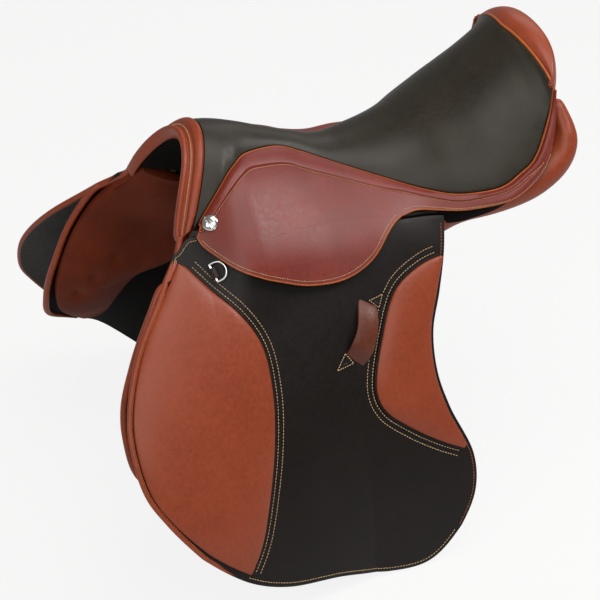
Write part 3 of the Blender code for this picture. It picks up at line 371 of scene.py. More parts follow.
def addNode(tree, kind, settings=None, **links):  # a node, its settings, and links to named or numbered sockets
    node = tree.nodes.new("ShaderNode" + kind)
    for key, value in (settings or {}).items():
        if key == "stops":  # places and colours of a colour ramp
            while len(node.color_ramp.elements) < len(value):
                node.color_ramp.elements.new(0.5)
            for element, (place, colour) in zip(node.color_ramp.elements, value):
                element.position, element.color = place, colour
        elif isinstance(key, int) or key in node.inputs:
            node.inputs[key].default_value = value
        else:
            setattr(node, key, value)
    for key, source in links.items():
        numbered = key[0] == "i" and key[1:].isdigit()
        tree.links.new(source, node.inputs[int(key[1:]) if numbered else key.replace("_", " ")])
    return node


def newMaterial(name):
    material = bpy.data.materials.new(name)
    material.use_nodes = True
    tree = material.node_tree
    return material, tree, tree.nodes["Principled BSDF"]


def leather(name, base, dark, light, rough, grainMm, grain, crease, coat, specular):
    # Tanned hide: dye that pools unevenly, pebbles of the grain, faint stretch lines, and rubbed high spots
    material, tree, shader = newMaterial(name)
    place = addNode(tree, "TexCoord").outputs["Object"]
    cloudy, mottled, stretch = (addNode(tree, "TexNoise", noise, Vector=place).outputs["Fac"] for noise in (
        {"Scale": 16.0, "Detail": 4.0, "Roughness": 0.6},  # clouds of about 60 mm
        {"Scale": 210.0, "Detail": 3.0, "Roughness": 0.65},  # mottle of about 5 mm
        {"Scale": 120.0, "Detail": 5.0, "Roughness": 0.55, "Distortion": 0.6}))
    dye = {"stops": ((0.3, linear(dark)), (0.52, linear(base)), (0.78, linear(light)))}
    flecks = {"stops": ((0.25, (0.82, 0.82, 0.82, 1)), (0.6, (1, 1, 1, 1)), (0.85, (1.1, 1.08, 1.06, 1)))}
    colour, fleck = (addNode(tree, "ValToRGB", stops, Fac=source).outputs["Color"]
                     for stops, source in ((dye, cloudy), (flecks, mottled)))
    mixed = addNode(tree, "Mix", {"data_type": "RGBA", "blend_type": "MULTIPLY", 0: 1.0}, i6=colour, i7=fleck)
    tree.links.new(mixed.outputs[2], shader.inputs["Base Color"])
    pebble = addNode(tree, "TexVoronoi", {"Scale": 1000 / grainMm}, Vector=place).outputs["Distance"]
    first = addNode(tree, "Bump", {"Strength": grain, "Distance": 0.00022}, Height=pebble)
    second = addNode(tree, "Bump", {"Strength": crease, "Distance": 0.0009}, Height=stretch,
                     Normal=first.outputs["Normal"])
    tree.links.new(second.outputs["Normal"], shader.inputs["Normal"])
    spread = {"From Min": 0.3, "From Max": 0.7, "To Min": rough - 0.05, "To Max": rough + 0.07}
    rubbed = addNode(tree, "MapRange", spread, Value=mottled)
    tree.links.new(rubbed.outputs["Result"], shader.inputs["Roughness"])
    shader.inputs["Coat Weight"].default_value = coat
    shader.inputs["Coat Roughness"].default_value = 0.22
    shader.inputs["Specular IOR Level"].default_value = specular
    return material


def woven(name, base, dark, threadMm):
    # Linen webbing: warp and weft on the strap's UV map, in metres; thread and gap are equally wide
    material, tree, shader = newMaterial(name)
    place = addNode(tree, "UVMap", {"uv_map": "UVMap"}).outputs["UV"]
    bands = {"Scale": 1000 / threadMm / 6.283, "Distortion": 0.4}
    warp, weft = (addNode(tree, "TexWave", {"bands_direction": way, **bands}, Vector=place).outputs["Fac"]
                  for way in "XY")
    cross = addNode(tree, "Math", {"operation": "MULTIPLY"}, i0=warp, i1=weft).outputs[0]
    stops = {"stops": ((0.0, linear(dark)), (0.6, linear(base)))}
    tree.links.new(addNode(tree, "ValToRGB", stops, Fac=cross).outputs["Color"], shader.inputs["Base Color"])
    bump = addNode(tree, "Bump", {"Strength": 0.5, "Distance": 0.0004}, Height=cross)
    tree.links.new(bump.outputs["Normal"], shader.inputs["Normal"])
    shader.inputs["Roughness"].default_value = 0.85
    return material


def metal(name, base, rough, brushed=0.0):
    # Steel: mirror plating, or a brushed face, with fine handling marks in its polish
    material, tree, shader = newMaterial(name)
    place = addNode(tree, "TexCoord").outputs["Object"]
    marks = addNode(tree, "TexNoise", {"Scale": 900.0, "Detail": 4.0}, Vector=place).outputs["Fac"]
    spread = addNode(tree, "MapRange", {"To Min": rough * 0.7, "To Max": rough * 1.5 + brushed}, Value=marks)
    tree.links.new(spread.outputs["Result"], shader.inputs["Roughness"])
    bump = addNode(tree, "Bump", {"Strength": 0.05 + brushed, "Distance": 0.0001}, Height=marks)
    tree.links.new(bump.outputs["Normal"], shader.inputs["Normal"])
    shader.inputs["Base Color"].default_value = linear(base)
    shader.inputs["Metallic"].default_value = 1.0
    return material


def patterned(name, kind, pattern, output, stops, rough, relief=None):
    # A plain body whose one texture gives its colour and, with a strength and a height, its relief
    material, tree, shader = newMaterial(name)
    place = addNode(tree, "TexCoord").outputs["Object"]
    source = addNode(tree, kind, pattern, Vector=place).outputs[output]
    colour = addNode(tree, "ValToRGB", {"stops": [(at, linear(code)) for at, code in stops]}, Fac=source)
    tree.links.new(colour.outputs["Color"], shader.inputs["Base Color"])
    if relief:
        bump = addNode(tree, "Bump", {"Strength": relief[0], "Distance": relief[1]}, Height=source)
        tree.links.new(bump.outputs["Normal"], shader.inputs["Normal"])
    shader.inputs["Roughness"].default_value = rough
    return material


hides = (  # base, dark and light dye, roughness, grain mm, depths of grain and stretch, coat, specular
    # seat: a grey-green black calf with a soft shine
    ("oliveDrumDyedCalf", "#2C271D", "#251F17", "#332D23", 0.4, 0.9, 0.16, 0.08, 0.0, 0.34),
    # pads, facings and rear panels: warm orange-brown calf, smooth, a little glossy
    ("tanAnilineCalf", "#8E3D20", "#89391E", "#934125", 0.38, 1.0, 0.16, 0.12, 0.05, 0.35),
    # skirts: stiff red-brown hide with a waxed glow
    ("oxbloodWaxedBridleLeather", "#76271A", "#6E2417", "#7E2C1E", 0.42, 1.2, 0.12, 0.1, 0.0, 0.5),
    # flaps: near black brown with a fine grain and a dull grey sheen
    ("chocolateGrainedFlapLeather", "#140E0B", "#110C09", "#181210", 0.44, 1.3, 0.24, 0.1, 0.0, 0.24),
    # piping and beads: bright orange, rolled thin
    ("orangeRolledPipingLeather", "#A65522", "#96481C", "#B46228", 0.42, 0.8, 0.15, 0.1, 0.0, 0.35),
    # front panels: dark brown and almost without shine
    ("brownBuffedPanelLeather", "#64260F", "#561F0C", "#722F14", 0.58, 0.8, 0.25, 0.22, 0.0, 0.15),
    # gullet, welt strip and sweat flaps: flat black; it is also the painted shade of the strip behind each
    # skirt tail
    ("blackGulletLiningAndPaintedShade", "#0B0908", "#080706", "#0F0D0B", 0.66, 1.0, 0.25, 0.1, 0.0, 0.06),
    # girth straps and dee chapes: dark havana
    ("havanaStrapLeather", "#2B1912", "#24150F", "#34201A", 0.44, 1.2, 0.2, 0.1, 0.0, 0.35),
    # keeper: reddish brown with a rubbed face
    ("reddishKeeperLeather", "#5E2A16", "#522311", "#6B341C", 0.4, 1.1, 0.18, 0.12, 0.0, 0.4),
)
(oliveCalf, tanCalf, oxbloodBridle, chocolateBuffalo, orangePiping, panelSuede, blackLiningAndPaintedShade, strapLeather,
 keeperLeather) = (leather(*hide) for hide in hides)
# Waxed linen thread: pale where it catches the light, darker in the flecks between its fibres
creamThread, orangeThread = (
    patterned(name, "TexNoise", {"Scale": 1400.0, "Detail": 1.0}, "Fac", ((0.3, dark), (0.6, base)), 0.6)
    for name, base, dark in (("creamWaxedLinenThread", "#D9B98A", "#A98557"),
                             ("orangeWaxedLinenThread", "#B86B35", "#8A4A22")))
brightSteel = metal("brightPlatedSteel", "#D6D6D2", 0.12)
dullSteel = metal("bluedSteelPlate", "#6F7278", 0.34, 0.05)
# Laminated beech: pale and darker layers 1.5 mm thick, a little wavy, under varnish
layers = {"bands_direction": "Z", "Scale": 105.0, "Distortion": 1.5, "Detail": 2.0}
treeWood = patterned("laminatedBeech", "TexWave", layers, "Fac", ((0.0, "#A97B4E"), (1.0, "#D9B384")), 0.5,
                     (0.2, 0.0003))
# Open cell foam: a cream body full of 1 mm pores
seatSponge = patterned("openCellSeatFoam", "TexVoronoi", {"Scale": 900.0}, "Distance",
                       ((0.1, "#A99F79"), (0.5, "#D8CDA6")), 0.95, (0.7, 0.0005))
linenWeb = woven("linenGirthWebbing", "#BFB08A", "#8A7D5E", 1.4)
print("materials ready")


# Camera, stage and light

camera = {
    "azimuth": -21.918, "elevation": 32.071, "distance": 2.3145, "lens": 118.24, "sensor": 36.0,
    "target": (-0.0566, -0.0449, -0.0981),
}


def setCamera():
    a, e = math.radians(camera["azimuth"]), math.radians(camera["elevation"])
    back = np.array([math.sin(a) * math.cos(e), -math.cos(a) * math.cos(e), math.sin(e)])
    data = bpy.data.cameras.new("photoCamera")
    data.lens, data.sensor_width, data.clip_start = camera["lens"], camera["sensor"], 0.05
    item = bpy.data.objects.new("photoCamera", data)
    bpy.context.scene.collection.objects.link(item)
    item.location = np.array(camera["target"]) + back * camera["distance"]
    item.rotation_euler = (math.pi / 2 - e, 0.0, a)
    bpy.context.scene.camera = item


stage = {
    "floorZ": -0.3515, "floorSize": 14.0, "floorColour": "#D8D6D2",
    "lift": 0.86, "glossLift": 0.35, "sky": 0.22,  # how far floor, reflected floor and sky glow
}
lamps = (  # name, place, aims at, size, watts, colour
    ("softboxAbove", (0.15, -0.45, 1.85), (0.0, -0.05, 0.0), (1.5, 1.1), 18.0, (1.0, 0.99, 0.98)),
    ("softboxMain", (-0.6, -1.7, 1.2), (0.0, -0.1, -0.05), (1.5, 1.2), 12.0, (1.0, 0.99, 0.98)),
    ("softboxLeft", (-1.8, -1.1, 1.0), (-0.25, 0.1, 0.0), (0.7, 0.9), 8.0, (1.0, 0.98, 0.95)),
    ("softboxRear", (1.12, -0.6, 1.27), (-0.1, -0.1, 0.06), (0.7, 0.5), 13.0, (1.0, 0.97, 0.98)),
    ("softboxBehind", (1.1, 1.2, 1.3), (0.1, 0.0, 0.1), (1.1, 0.9), 4.0, (1.0, 1.0, 1.0)),
)


def setStage():
    half = stage["floorSize"] / 2
    corners = [(half * x, half * y, stage["floorZ"]) for x, y in ((-1, -1), (1, -1), (1, 1), (-1, 1))]
    mesh = bpy.data.meshes.new("floor")
    mesh.from_pydata(corners, [], [(0, 1, 2, 3)])
    material, tree, shader = newMaterial("palePaperFloor")
    shader.inputs["Base Color"].default_value = linear(stage["floorColour"])
    shader.inputs["Roughness"].default_value = 0.9
    # Seen straight on or in a reflection the paper is part glow: it reads white and still takes the shadow
    rays = addNode(tree, "LightPath")
    seen, mirrored = (
        addNode(tree, "Math", {"operation": "MULTIPLY", 1: stage[key]}, i0=rays.outputs[ray]).outputs[0]
        for key, ray in (("lift", "Is Camera Ray"), ("glossLift", "Is Glossy Ray")))
    share = addNode(tree, "Math", {"operation": "ADD"}, i0=seen, i1=mirrored)
    glow = addNode(tree, "Emission")
    mixed = addNode(tree, "MixShader", i0=share.outputs[0], i1=shader.outputs["BSDF"],
                    i2=glow.outputs["Emission"])
    tree.links.new(mixed.outputs["Shader"], tree.nodes["Material Output"].inputs["Surface"])
    mesh.materials.append(material)
    floor = bpy.data.objects.new("floor", mesh)
    bpy.context.scene.collection.objects.link(floor)
    for name, place, aim, size, watts, colour in lamps:
        data = bpy.data.lights.new(name, "AREA")
        data.shape, data.size, data.size_y = "RECTANGLE", *size
        data.energy, data.color = watts, colour
        lamp = bpy.data.objects.new(name, data)
        bpy.context.scene.collection.objects.link(lamp)
        away = np.array(place) - np.array(aim)
        tilt, turn = math.acos(away[2] / np.linalg.norm(away)), math.atan2(away[1], away[0]) + math.pi / 2
        lamp.location, lamp.rotation_euler = place, (tilt, 0.0, turn)
    world = bpy.data.worlds.new("studio")
    bpy.context.scene.world = world
    world.use_nodes = True
    tree = world.node_tree
    rays = addNode(tree, "LightPath").outputs["Is Camera Ray"]
    strength = addNode(tree, "MapRange", {"To Min": stage["sky"], "To Max": 1.0}, Value=rays)
    tree.links.new(strength.outputs["Result"], tree.nodes["Background"].inputs["Strength"])
    tree.nodes["Background"].inputs["Color"].default_value = (1, 1, 1, 1)


setCamera()
setStage()
bpy.context.scene.view_settings.view_transform = "Standard"
print("camera, floor and lamps ready")


# Seat

seat = {
    "coverDepth": 0.002, "pipeRadius": 0.0018, "pipeGap": 0.0008, "pipeFrom": 0.014,
    "foam": (0.004, 0.0145), "foamReach": (0.05, 0.95, 0.86),  # depths; first and last station, half width
    "strainer": (0.02, 0.0216), "strainerReach": (-0.12, 0.15, 0.4),  # depths; first and last x, half width
    # the dark strip under the welt: how far out and how deep each of its rows lies
    "strip": ((-0.001, 0.003), (0.004, 0.0036), (0.009, 0.003), (0.013, 0.003)), "stripThick": 0.0012,
    "stripCloses": (0.8, 0.75),
}


def seatSheet(s, t, depths):  # a closed sheet between two depths under the seat
    return sheet(*(seatLayer(s[:, None], t[None], depth) for depth in depths))


def makeSeat():
    cover = seatSheet(shares(150), np.linspace(-1, 1, 91), (0.0, seat["coverDepth"]))
    piece = meshPiece("seatCover", *cover, oliveCalf, "tree", replaces=["seat_cover"], bevel=0.0007,
                      slot="olive_leather")
    first, last, half = seat["foamReach"]
    foam = seatSheet(np.linspace(first, last, 60), np.linspace(-half, half, 40), seat["foam"])
    piece = meshPiece("seatFoam", *foam, seatSponge, "tree", replaces=["seat_foam"], bevel=0.002, slot="foam")
    first, last, half = seat["strainerReach"]
    s = np.linspace(stationAt(first), stationAt(last), 40)
    strainer = seatSheet(s, np.linspace(-half, half, 16), seat["strainer"])
    uv = clothMap(np.linspace(0, 0.07, 16), np.linspace(0, 0.27, 40))
    meshPiece("seatStrainer", *strainer, linenWeb, "tree", replaces=["seat_strainer"], slot="webbing", uv=uv)
    rows = np.concatenate([[seat["pipeFrom"]], shares(170)[3:]])
    path = weltPoint(rows, seat["pipeRadius"] + seat["pipeGap"])
    closeFrom, closeBy = seat["stripCloses"]  # towards the cantle the strip narrows
    shorter = (1 - closeBy * smoothStep(closeFrom, 1.0, rows))[:, None]
    strip = [np.stack([weltPoint(rows, reach * shorter, sink + deep)[:-9] for reach, sink in seat["strip"]])
             for deep in (0.0, seat["stripThick"])]
    for name, side in sides:
        roundPiece("seatPiping_" + name, path, seat["pipeRadius"], orangePiping, "tree", side, 12,
                   (0.0, 0.3, 1.0), [f"seat_piping_{name}"], "piping_leather")
        meshPiece("weltStrip_" + name, *sheet(*strip), blackLiningAndPaintedShade, "tree", side)


makeSeat()
print("seat ready")


# Skirts: a band on the seat's welt and a hinged lobe below it, which lie in one surface

skirt = {
    "thick": 0.0036, "lift": 0.0012, "standOff": 0.0064, "cut": ((-0.2, 0.044), (0.09, 0.026)),
    "bandStart": 0.0048, "bandFrom": 0.012, "bandX": (-0.196, 0.038), "topX": (-0.197, 0.038),
    "low": ((-0.183, 0.029), (-0.158, 0.014), (-0.123, -0.002), (-0.088, -0.013), (-0.046, -0.015),
            (-0.012, -0.004), (0.011, 0.013)),
    "frontBend": (-0.194, 0.037), "rearBend": (0.026, 0.024),  # where the lobe's short ends turn down
    "bead": 0.001, "beadSink": 0.0006, "seam": 0.0034, "stitch": (0.003, 0.0007),
    "tail": ((0.056, 0.113, 0.031), (0.09, 0.121, 0.028), (0.128, 0.134, 0.031), (0.168, 0.14, 0.045),
             (0.2, 0.132, 0.066), (0.222, 0.117, 0.093), (0.2325, 0.1065, 0.119), (0.2335, 0.1005, 0.1405)),
    # the tail leaves the side surface between two x, closes in on the welt from a share on, thins and ends
    "tailX": (0.12, 0.165), "tailBulge": 0.004, "bandCloses": (0.9, 0.0022), "tailCloses": (0.86, 0.9),
    "tailThin": 0.75, "tailFrom": 0.03, "tailSeam": 0.17, "beadEnd": 126, "stitchEnd": 122,
    # the stitched crease: share of the way along the welt, and distance from it
    "crease": ((0.0, 0.015), (0.03, 0.0135), (0.07, 0.011), (0.12, 0.0105), (0.19, 0.0112), (0.25, 0.015),
               (0.3, 0.019), (0.35, 0.022), (0.4, 0.022), (0.46, 0.0185), (0.53, 0.014), (0.62, 0.0115),
               (0.7, 0.0075), (0.8, 0.005), (1.0, 0.004)),
    "creaseDeep": 0.001, "creaseWide": 0.0012, "rollHigh": 0.0014, "creaseRow": 16,
    "shade": (0.0012, 0.003, 0.0125),  # a black strip of painted shade behind the tail: thickness, least height, more in front
}


def cutHeight(x):
    (x0, z0), (x1, z1) = skirt["cut"]
    return np.interp(x, (x0, x1), (z0, z1))


def standOff(x, z):  # the skirt's gap to the flap: it grows past the hinge line and dies out at both ends
    ends = smoothStep(-0.2, -0.16, x) * (1 - smoothStep(0.0, 0.055, x))
    return skirt["standOff"] * ends * smoothStep(-0.03, 0.03, cutHeight(x) - z)


def bandGrid(columns, rows):  # columns run from the welt down to the hinge line, or to the tail's lower edge
    x = np.linspace(*skirt["bandX"], 24)
    low = smoothCurve(list(zip(x, sideHalfWidth(x, cutHeight(x)), cutHeight(x))) + list(skirt["tail"]))
    s = np.linspace(skirt["bandFrom"], 1, columns)
    closeFrom, closeBy = skirt["bandCloses"]
    top = weltPoint(s, (skirt["bandStart"] - closeBy * smoothStep(closeFrom, 1.0, s))[:, None])
    samples = low(shares(600))
    run, topRun = travelled(samples), travelled(top)
    bottom = carried(samples, run, topRun / topRun[-1] * run[-1])
    closeFrom, closeBy = skirt["tailCloses"]
    bottom += (top - bottom) * closeBy * smoothStep(closeFrom, 1.0, s)[:, None]  # the tail closes
    deep = np.linalg.norm(bottom - top, axis=1) * 1.08  # the band bows out past its chord
    crease = np.minimum(smoothTable(*zip(*skirt["crease"]))(s) / deep, 0.6)
    above, below = skirt["creaseRow"], rows - skirt["creaseRow"]  # rows gather at the crease
    first = crease * (1 - (1 - shares(above)[:, None]) ** 1.8)
    second = crease + (1 - crease) * shares(below + 1)[1:, None] ** 2.0
    v = np.concatenate([first, second])[..., None]
    flat = (1 - v) * top + v * bottom
    tail = smoothStep(*skirt["tailX"], flat[..., 0])
    bulge = skirt["tailBulge"] * np.sin(math.pi * v[..., 0])
    flat[..., 1] = sideHalfWidth(flat[..., 0], flat[..., 2]) * (1 - tail) + (flat[..., 1] + bulge) * tail
    flat[0] = top
    normal = unit(np.cross(np.gradient(flat, axis=1), np.gradient(flat, axis=0)))
    return flat, normal, v[..., 0]


def bandSkins(flat, normal, v):  # outer face: a sine roll up to the crease, the crease a narrow bell
    bandLift = skirt["lift"] * smoothStep(0.0, 0.3, v) + standOff(flat[..., 0], flat[..., 2])
    away = np.concatenate([0 * v[:1], np.cumsum(np.linalg.norm(np.diff(flat, axis=0), axis=2), axis=0)])
    row = skirt["creaseRow"] - 1
    roll = skirt["rollHigh"] * np.sin(np.pi * np.clip(away / away[row], 0, 1)) ** 0.7
    groove = skirt["creaseDeep"] * np.exp(-((away - away[row]) / skirt["creaseWide"]) ** 2)
    share = np.linspace(skirt["bandFrom"], 1, flat.shape[1])
    thin = 1 - skirt["tailThin"] * smoothStep(skirt["tailCloses"][0], 1.0, share)
    return (flat + normal * ((bandLift + skirt["thick"] + roll - groove) * thin)[..., None],
            flat + normal * (bandLift * thin)[..., None])


def makeSkirts():
    flat, normal, v = bandGrid(240, 44)
    outer, inner = bandSkins(flat, normal, v)
    creaseRow = skirt["creaseRow"] - 1
    seamRow = creaseRow + 4
    seam = atShares(outer[seamRow] + normal[seamRow] * 0.0001, 400)[:340]
    seamNormal = atShares(normal[seamRow], 400)[:340]
    beadPath = evenly(outer[:, 0] - normal[:, 0] * skirt["beadSink"], 40)

    top = smoothCurve([(x, cutHeight(x)) for x in np.linspace(*skirt["topX"], 12)])
    low = smoothCurve(skirt["low"])
    front = smoothCurve([tuple(top(0.0)), skirt["frontBend"], skirt["low"][0]])
    rear = smoothCurve([tuple(top(1.0)), skirt["rearBend"], skirt["low"][-1]])
    lobe = coons((top, low, front, rear), shares(120), shares(60))
    stand = skirt["lift"] + standOff(lobe[..., 0], lobe[..., 1])
    border = [front(shares(12)), low(shares(90))[1:], rear(np.linspace(1, 0, 12))[1:]]
    border = evenly(np.concatenate(border), 160)
    edge, edgeStand = (np.concatenate([grid[:, 0], grid[-1, 1:], grid[-2::-1, -1]]) for grid in (lobe, stand))
    borderStand = np.array([edgeStand[np.argmin(np.hypot(*(edge - p).T))] for p in border]) + skirt["thick"]
    lobeBead = onSurface(sideLayer, border, borderStand - skirt["beadSink"])[0]
    lobeSeam = onSurface(sideLayer, shifted(border, skirt["seam"])[3:-3], borderStand[3:-3])

    behind = flat[-1][:, 0] > skirt["tailFrom"]
    tail, tailNormal = (atShares(grid[-1][behind], 160) for grid in (flat, normal))
    lift = skirt["lift"] + skirt["thick"]
    tailBead = (tail + tailNormal * (lift - skirt["beadSink"]))[:skirt["beadEnd"]]
    lower = (1 - skirt["tailSeam"]) * flat[-1][behind] + skirt["tailSeam"] * flat[creaseRow][behind]
    tailSeam = (atShares(lower, 160) + tailNormal * (lift + 0.0002))[:skirt["stitchEnd"]]
    shadeThick, leastHigh, frontHigh = skirt["shade"]
    sunk = frontHigh * (1 - smoothStep(0.09, 0.2, tail[:, 0])) + leastHigh
    shade = []
    for deep in (0.0, shadeThick):  # a black strip of painted shade behind the tail's lower edge, where the gap to the panel lies in shadow
        high = tail - tailNormal * (0.0005 + deep) + (0, 0, 0.002)
        hem = tail - tailNormal * (0.0045 + deep) - np.stack([0 * sunk, 0 * sunk, sunk], axis=-1)
        shade.append(np.stack([high, (high + hem) / 2, hem])[:, :skirt["beadEnd"]])
    for name, side in sides:
        body = f"skirt_{name}"
        meshPiece("skirtBand_" + name, *sheet(outer, inner), oxbloodBridle, "tree", side,
                  [f"skirt_band_{name}"], 0, "oxblood_leather", sharp=True)
        sew(seam, seamNormal, "cream", "tree", side, *skirt["stitch"])
        meshPiece(body + "_lobe", *skin(sideLayer, lobe, stand + skirt["thick"], stand), oxbloodBridle, body,
                  side, [body], 0, "oxblood_leather", sharp=True)
        roundPiece("skirtBead_" + name, lobeBead, skirt["bead"], orangePiping, body, side, 8)
        sew(*lobeSeam, "cream", body, side, *skirt["stitch"])
        roundPiece("bandBead_" + name, beadPath, skirt["bead"], orangePiping, "tree", side, 8)
        roundPiece("tailBead_" + name, tailBead, skirt["bead"] * 0.9, orangePiping, "tree", side, 8)
        sew(tailSeam, tailNormal[:skirt["stitchEnd"]], "cream", "tree", side, *skirt["stitch"])
        # tailShade: a black sheet that paints the shadow in the gap under the tail
        meshPiece("tailShade_" + name, *sheet(*shade), blackLiningAndPaintedShade, "tree", side)


makeSkirts()
print("skirts ready")


# Flaps and pads

flap = {
    "thick": 0.004, "seamGap": 0.0004,
    "front": ((-0.2275, 0.0335), (-0.255, 0.001), (-0.295, -0.042), (-0.317, -0.082), (-0.3235, -0.112),
              (-0.318, -0.16), (-0.3, -0.193), (-0.266, -0.239)),
    "bottom": ((-0.266, -0.239), (-0.216, -0.284), (-0.167, -0.309), (-0.1, -0.326), (-0.032, -0.347),
               (0.019, -0.346), (0.06, -0.309)),
    "rear": ((0.09, 0.024), (0.081, -0.008), (0.066, -0.045), (0.05, -0.082), (0.047, -0.123),
             (0.056, -0.163), (0.08, -0.224), (0.079, -0.268), (0.06, -0.309)),
    "notch": (-0.15, -0.033, 0.014), "headX": (-0.21, 0.084),
    "knee": ((-0.2175, 0.0205), (-0.202, 0.0035), (-0.173, -0.024), (-0.155, -0.057), (-0.153, -0.1),
             (-0.161, -0.148), (-0.178, -0.205), (-0.195, -0.249), (-0.213, -0.276)),
    # the knee pad's front edge follows the flap's, set back, between its own first, last and lowest points
    "kneeInset": 0.0048, "kneeStart": (-0.2255, 0.025), "kneeEnd": (-0.259, -0.237),
    "kneeLow": (-0.236, -0.258),
    "thigh": ((0.074, -0.012), (0.048, -0.017), (0.013, -0.035), (-0.01, -0.071), (-0.03, -0.129),
              (-0.023, -0.152), (0.004, -0.176), (0.039, -0.199), (0.068, -0.214)),
    "thighRear": ((0.078, -0.013), (0.062, -0.045), (0.0465, -0.082), (0.0435, -0.123), (0.052, -0.163),
                  (0.072, -0.21)),
    "kneeCrown": 0.0095, "thighCrown": 0.0068, "floor": -0.0004, "padEdge": 0.0016,
    "pipe": 0.0013, "pipeLift": 0.0009, "padSeams": (0.0045, 0.0105),
    "edgeRoll": 0.0028, "rollOut": 0.0012, "rollSink": 0.0014, "rollSeam": 0.003,
}


def flapTop(u):  # down to the front corner, level along the hinge line, dipped under the stirrup bar
    x = flap["front"][0][0] + (flap["rear"][0][0] - flap["front"][0][0]) * np.asarray(u, float)
    low = cutHeight(x) - (cutHeight(x) - flap["front"][0][1]) * (1 - smoothStep(-0.2275, -0.206, x))
    front, rear, deep = flap["notch"]
    inside = smoothStep(front - 0.016, front, x) * (1 - smoothStep(rear, rear + 0.016, x))
    return np.stack([x, low - flap["seamGap"] - (cutHeight(x) - deep) * inside], axis=-1)


def flapHead():  # a strip above the hinge line, from 1 mm high at the front corner to 13 mm behind it
    x, v = np.linspace(*flap["headX"], 90), shares(6)[:, None]
    lower = cutHeight(x) + flap["seamGap"] - 0.004 * (1 - smoothStep(-0.212, -0.2, x))
    upper = lower + 0.001 + 0.004 * smoothStep(-0.21, -0.2, x) + 0.008 * smoothStep(-0.186, -0.165, x)
    return np.stack([x + 0 * v, (1 - v) * upper + v * lower], axis=-1)


def packed(rows):  # grid shares set closer together near both edges, where a pad rolls over
    w = shares(rows)
    return w - 0.12 * np.sin(2 * np.pi * w)


def padSheet(layer, borders, size, floor, edge, crown, power=0.45):  # swells as sines to a power
    v, u = (packed(count) for count in size)
    grid = coons(borders, u, v)
    acrossPad, downPad = (np.clip(np.sin(np.pi * w), 0, 1) ** power for w in (u[None], v[:, None]))
    swell = acrossPad * downPad
    return skin(layer, grid, floor + edge + crown * swell, floor)


def makeFlaps():
    curve = {key: smoothCurve(flap[key]) for key in ("front", "bottom", "rear", "knee", "thigh", "thighRear")}
    line = {key: evenly(curve[key](shares(120)), count) for key, count in (
        ("knee", 160), ("thigh", 140), ("front", 140), ("bottom", 140), ("rear", 140))}
    main = coons((flapTop, curve["bottom"], curve["front"], curve["rear"]), shares(130), shares(90))
    head = flapHead()
    inset = [(x + flap["kneeInset"], z) for x, z in flap["front"][1:-1]]
    knee = [smoothCurve(points) for points in (
        [flap["kneeStart"], flap["knee"][0]], [flap["kneeEnd"], flap["kneeLow"], flap["knee"][-1]],
        [flap["kneeStart"], *inset, flap["kneeEnd"]], flap["knee"])]
    ends = [smoothCurve([flap["thigh"][k], flap["thighRear"][k]]) for k in (0, -1)]
    # each pad's borders, its rows and columns, and the side of its line that the seams run on
    pads = {"knee": (knee, (90, 56), 1), "thigh": ([*ends, curve["thigh"], curve["thighRear"]], (70, 44), -1)}
    corner = np.concatenate([evenly(flapTop(np.linspace(0.1, 0, 30)), 40), line["front"][1:14]])
    corner = shifted(evenly(corner, 60), 0.003)[2:-2]
    rim = np.concatenate([line["front"], line["bottom"][1:27]])
    share = shares(len(rim))
    path = onSurface(sideLayer, shifted(rim, flap["rollOut"]), -flap["rollSink"])[0]
    ends = (0.3 + 0.7 * smoothStep(0.0, 0.09, share)) * (1 - 0.6 * smoothStep(0.8, 1.0, share))
    stout = flap["edgeRoll"] * (1.45 - 0.45 * smoothStep(0.05, 0.5, share)) * ends
    shoulder = np.sqrt(np.clip(stout ** 2 - 0.0018 ** 2, 0, None)) - flap["rollSink"]  # the roll's inner side
    for name, side in sides:
        body = f"flap_{name}"
        for label, grid, owner, node, bevel in (("flapPanel_", main, body, "flap_", 0.0007),
                                                ("flapHead_", head, "tree", "flap_head_", 0.0006)):
            meshPiece(label + name, *skin(sideLayer, grid, 0.0, -flap["thick"]), chocolateBuffalo, owner,
                      side, [node + name], bevel, "flap_leather")
        for label, (borders, size, outside) in pads.items():
            faces = padSheet(sideLayer, borders, size, flap["floor"], flap["padEdge"], flap[label + "Crown"])
            pad = meshPiece(f"{label}Pad_{name}", *faces, tanCalf, body, side, [f"{label}_pad_{name}"],
                            slot="tan_leather")
        for label, (borders, size, outside) in pads.items():
            beside = shifted(line[label], outside * flap["pipe"] * 0.8)
            pipe = onSurface(sideLayer, beside, flap["pipeLift"])[0]
            roundPiece(f"{label}Piping_{name}", pipe, flap["pipe"], chocolateBuffalo, body, side, 10)
            for distance in flap["padSeams"]:
                beside = shifted(line[label], outside * distance)[2:-2]
                sew(*onSurface(sideLayer, beside, 0.0), "cream", body, side)
        sew(*onSurface(sideLayer, corner, 0.0), "cream", body, side, 0.0028)
        roundPiece("frontRoll_" + name, path, stout, tanCalf, body, side)
        inner = shifted(rim, flap["rollSeam"])[16:-4]
        sew(*onSurface(sideLayer, inner, shoulder[16:-4]), "orange", body, side, 0.003)
        sew(*onSurface(sideLayer, shifted(line["bottom"], 0.005)[24:-3], 0.0), "cream", body, side)
        sew(*onSurface(sideLayer, shifted(line["rear"], -0.004)[3:], 0.0), "orange", body, side)


makeFlaps()
print("flaps ready")


# Facings of pommel and cantle

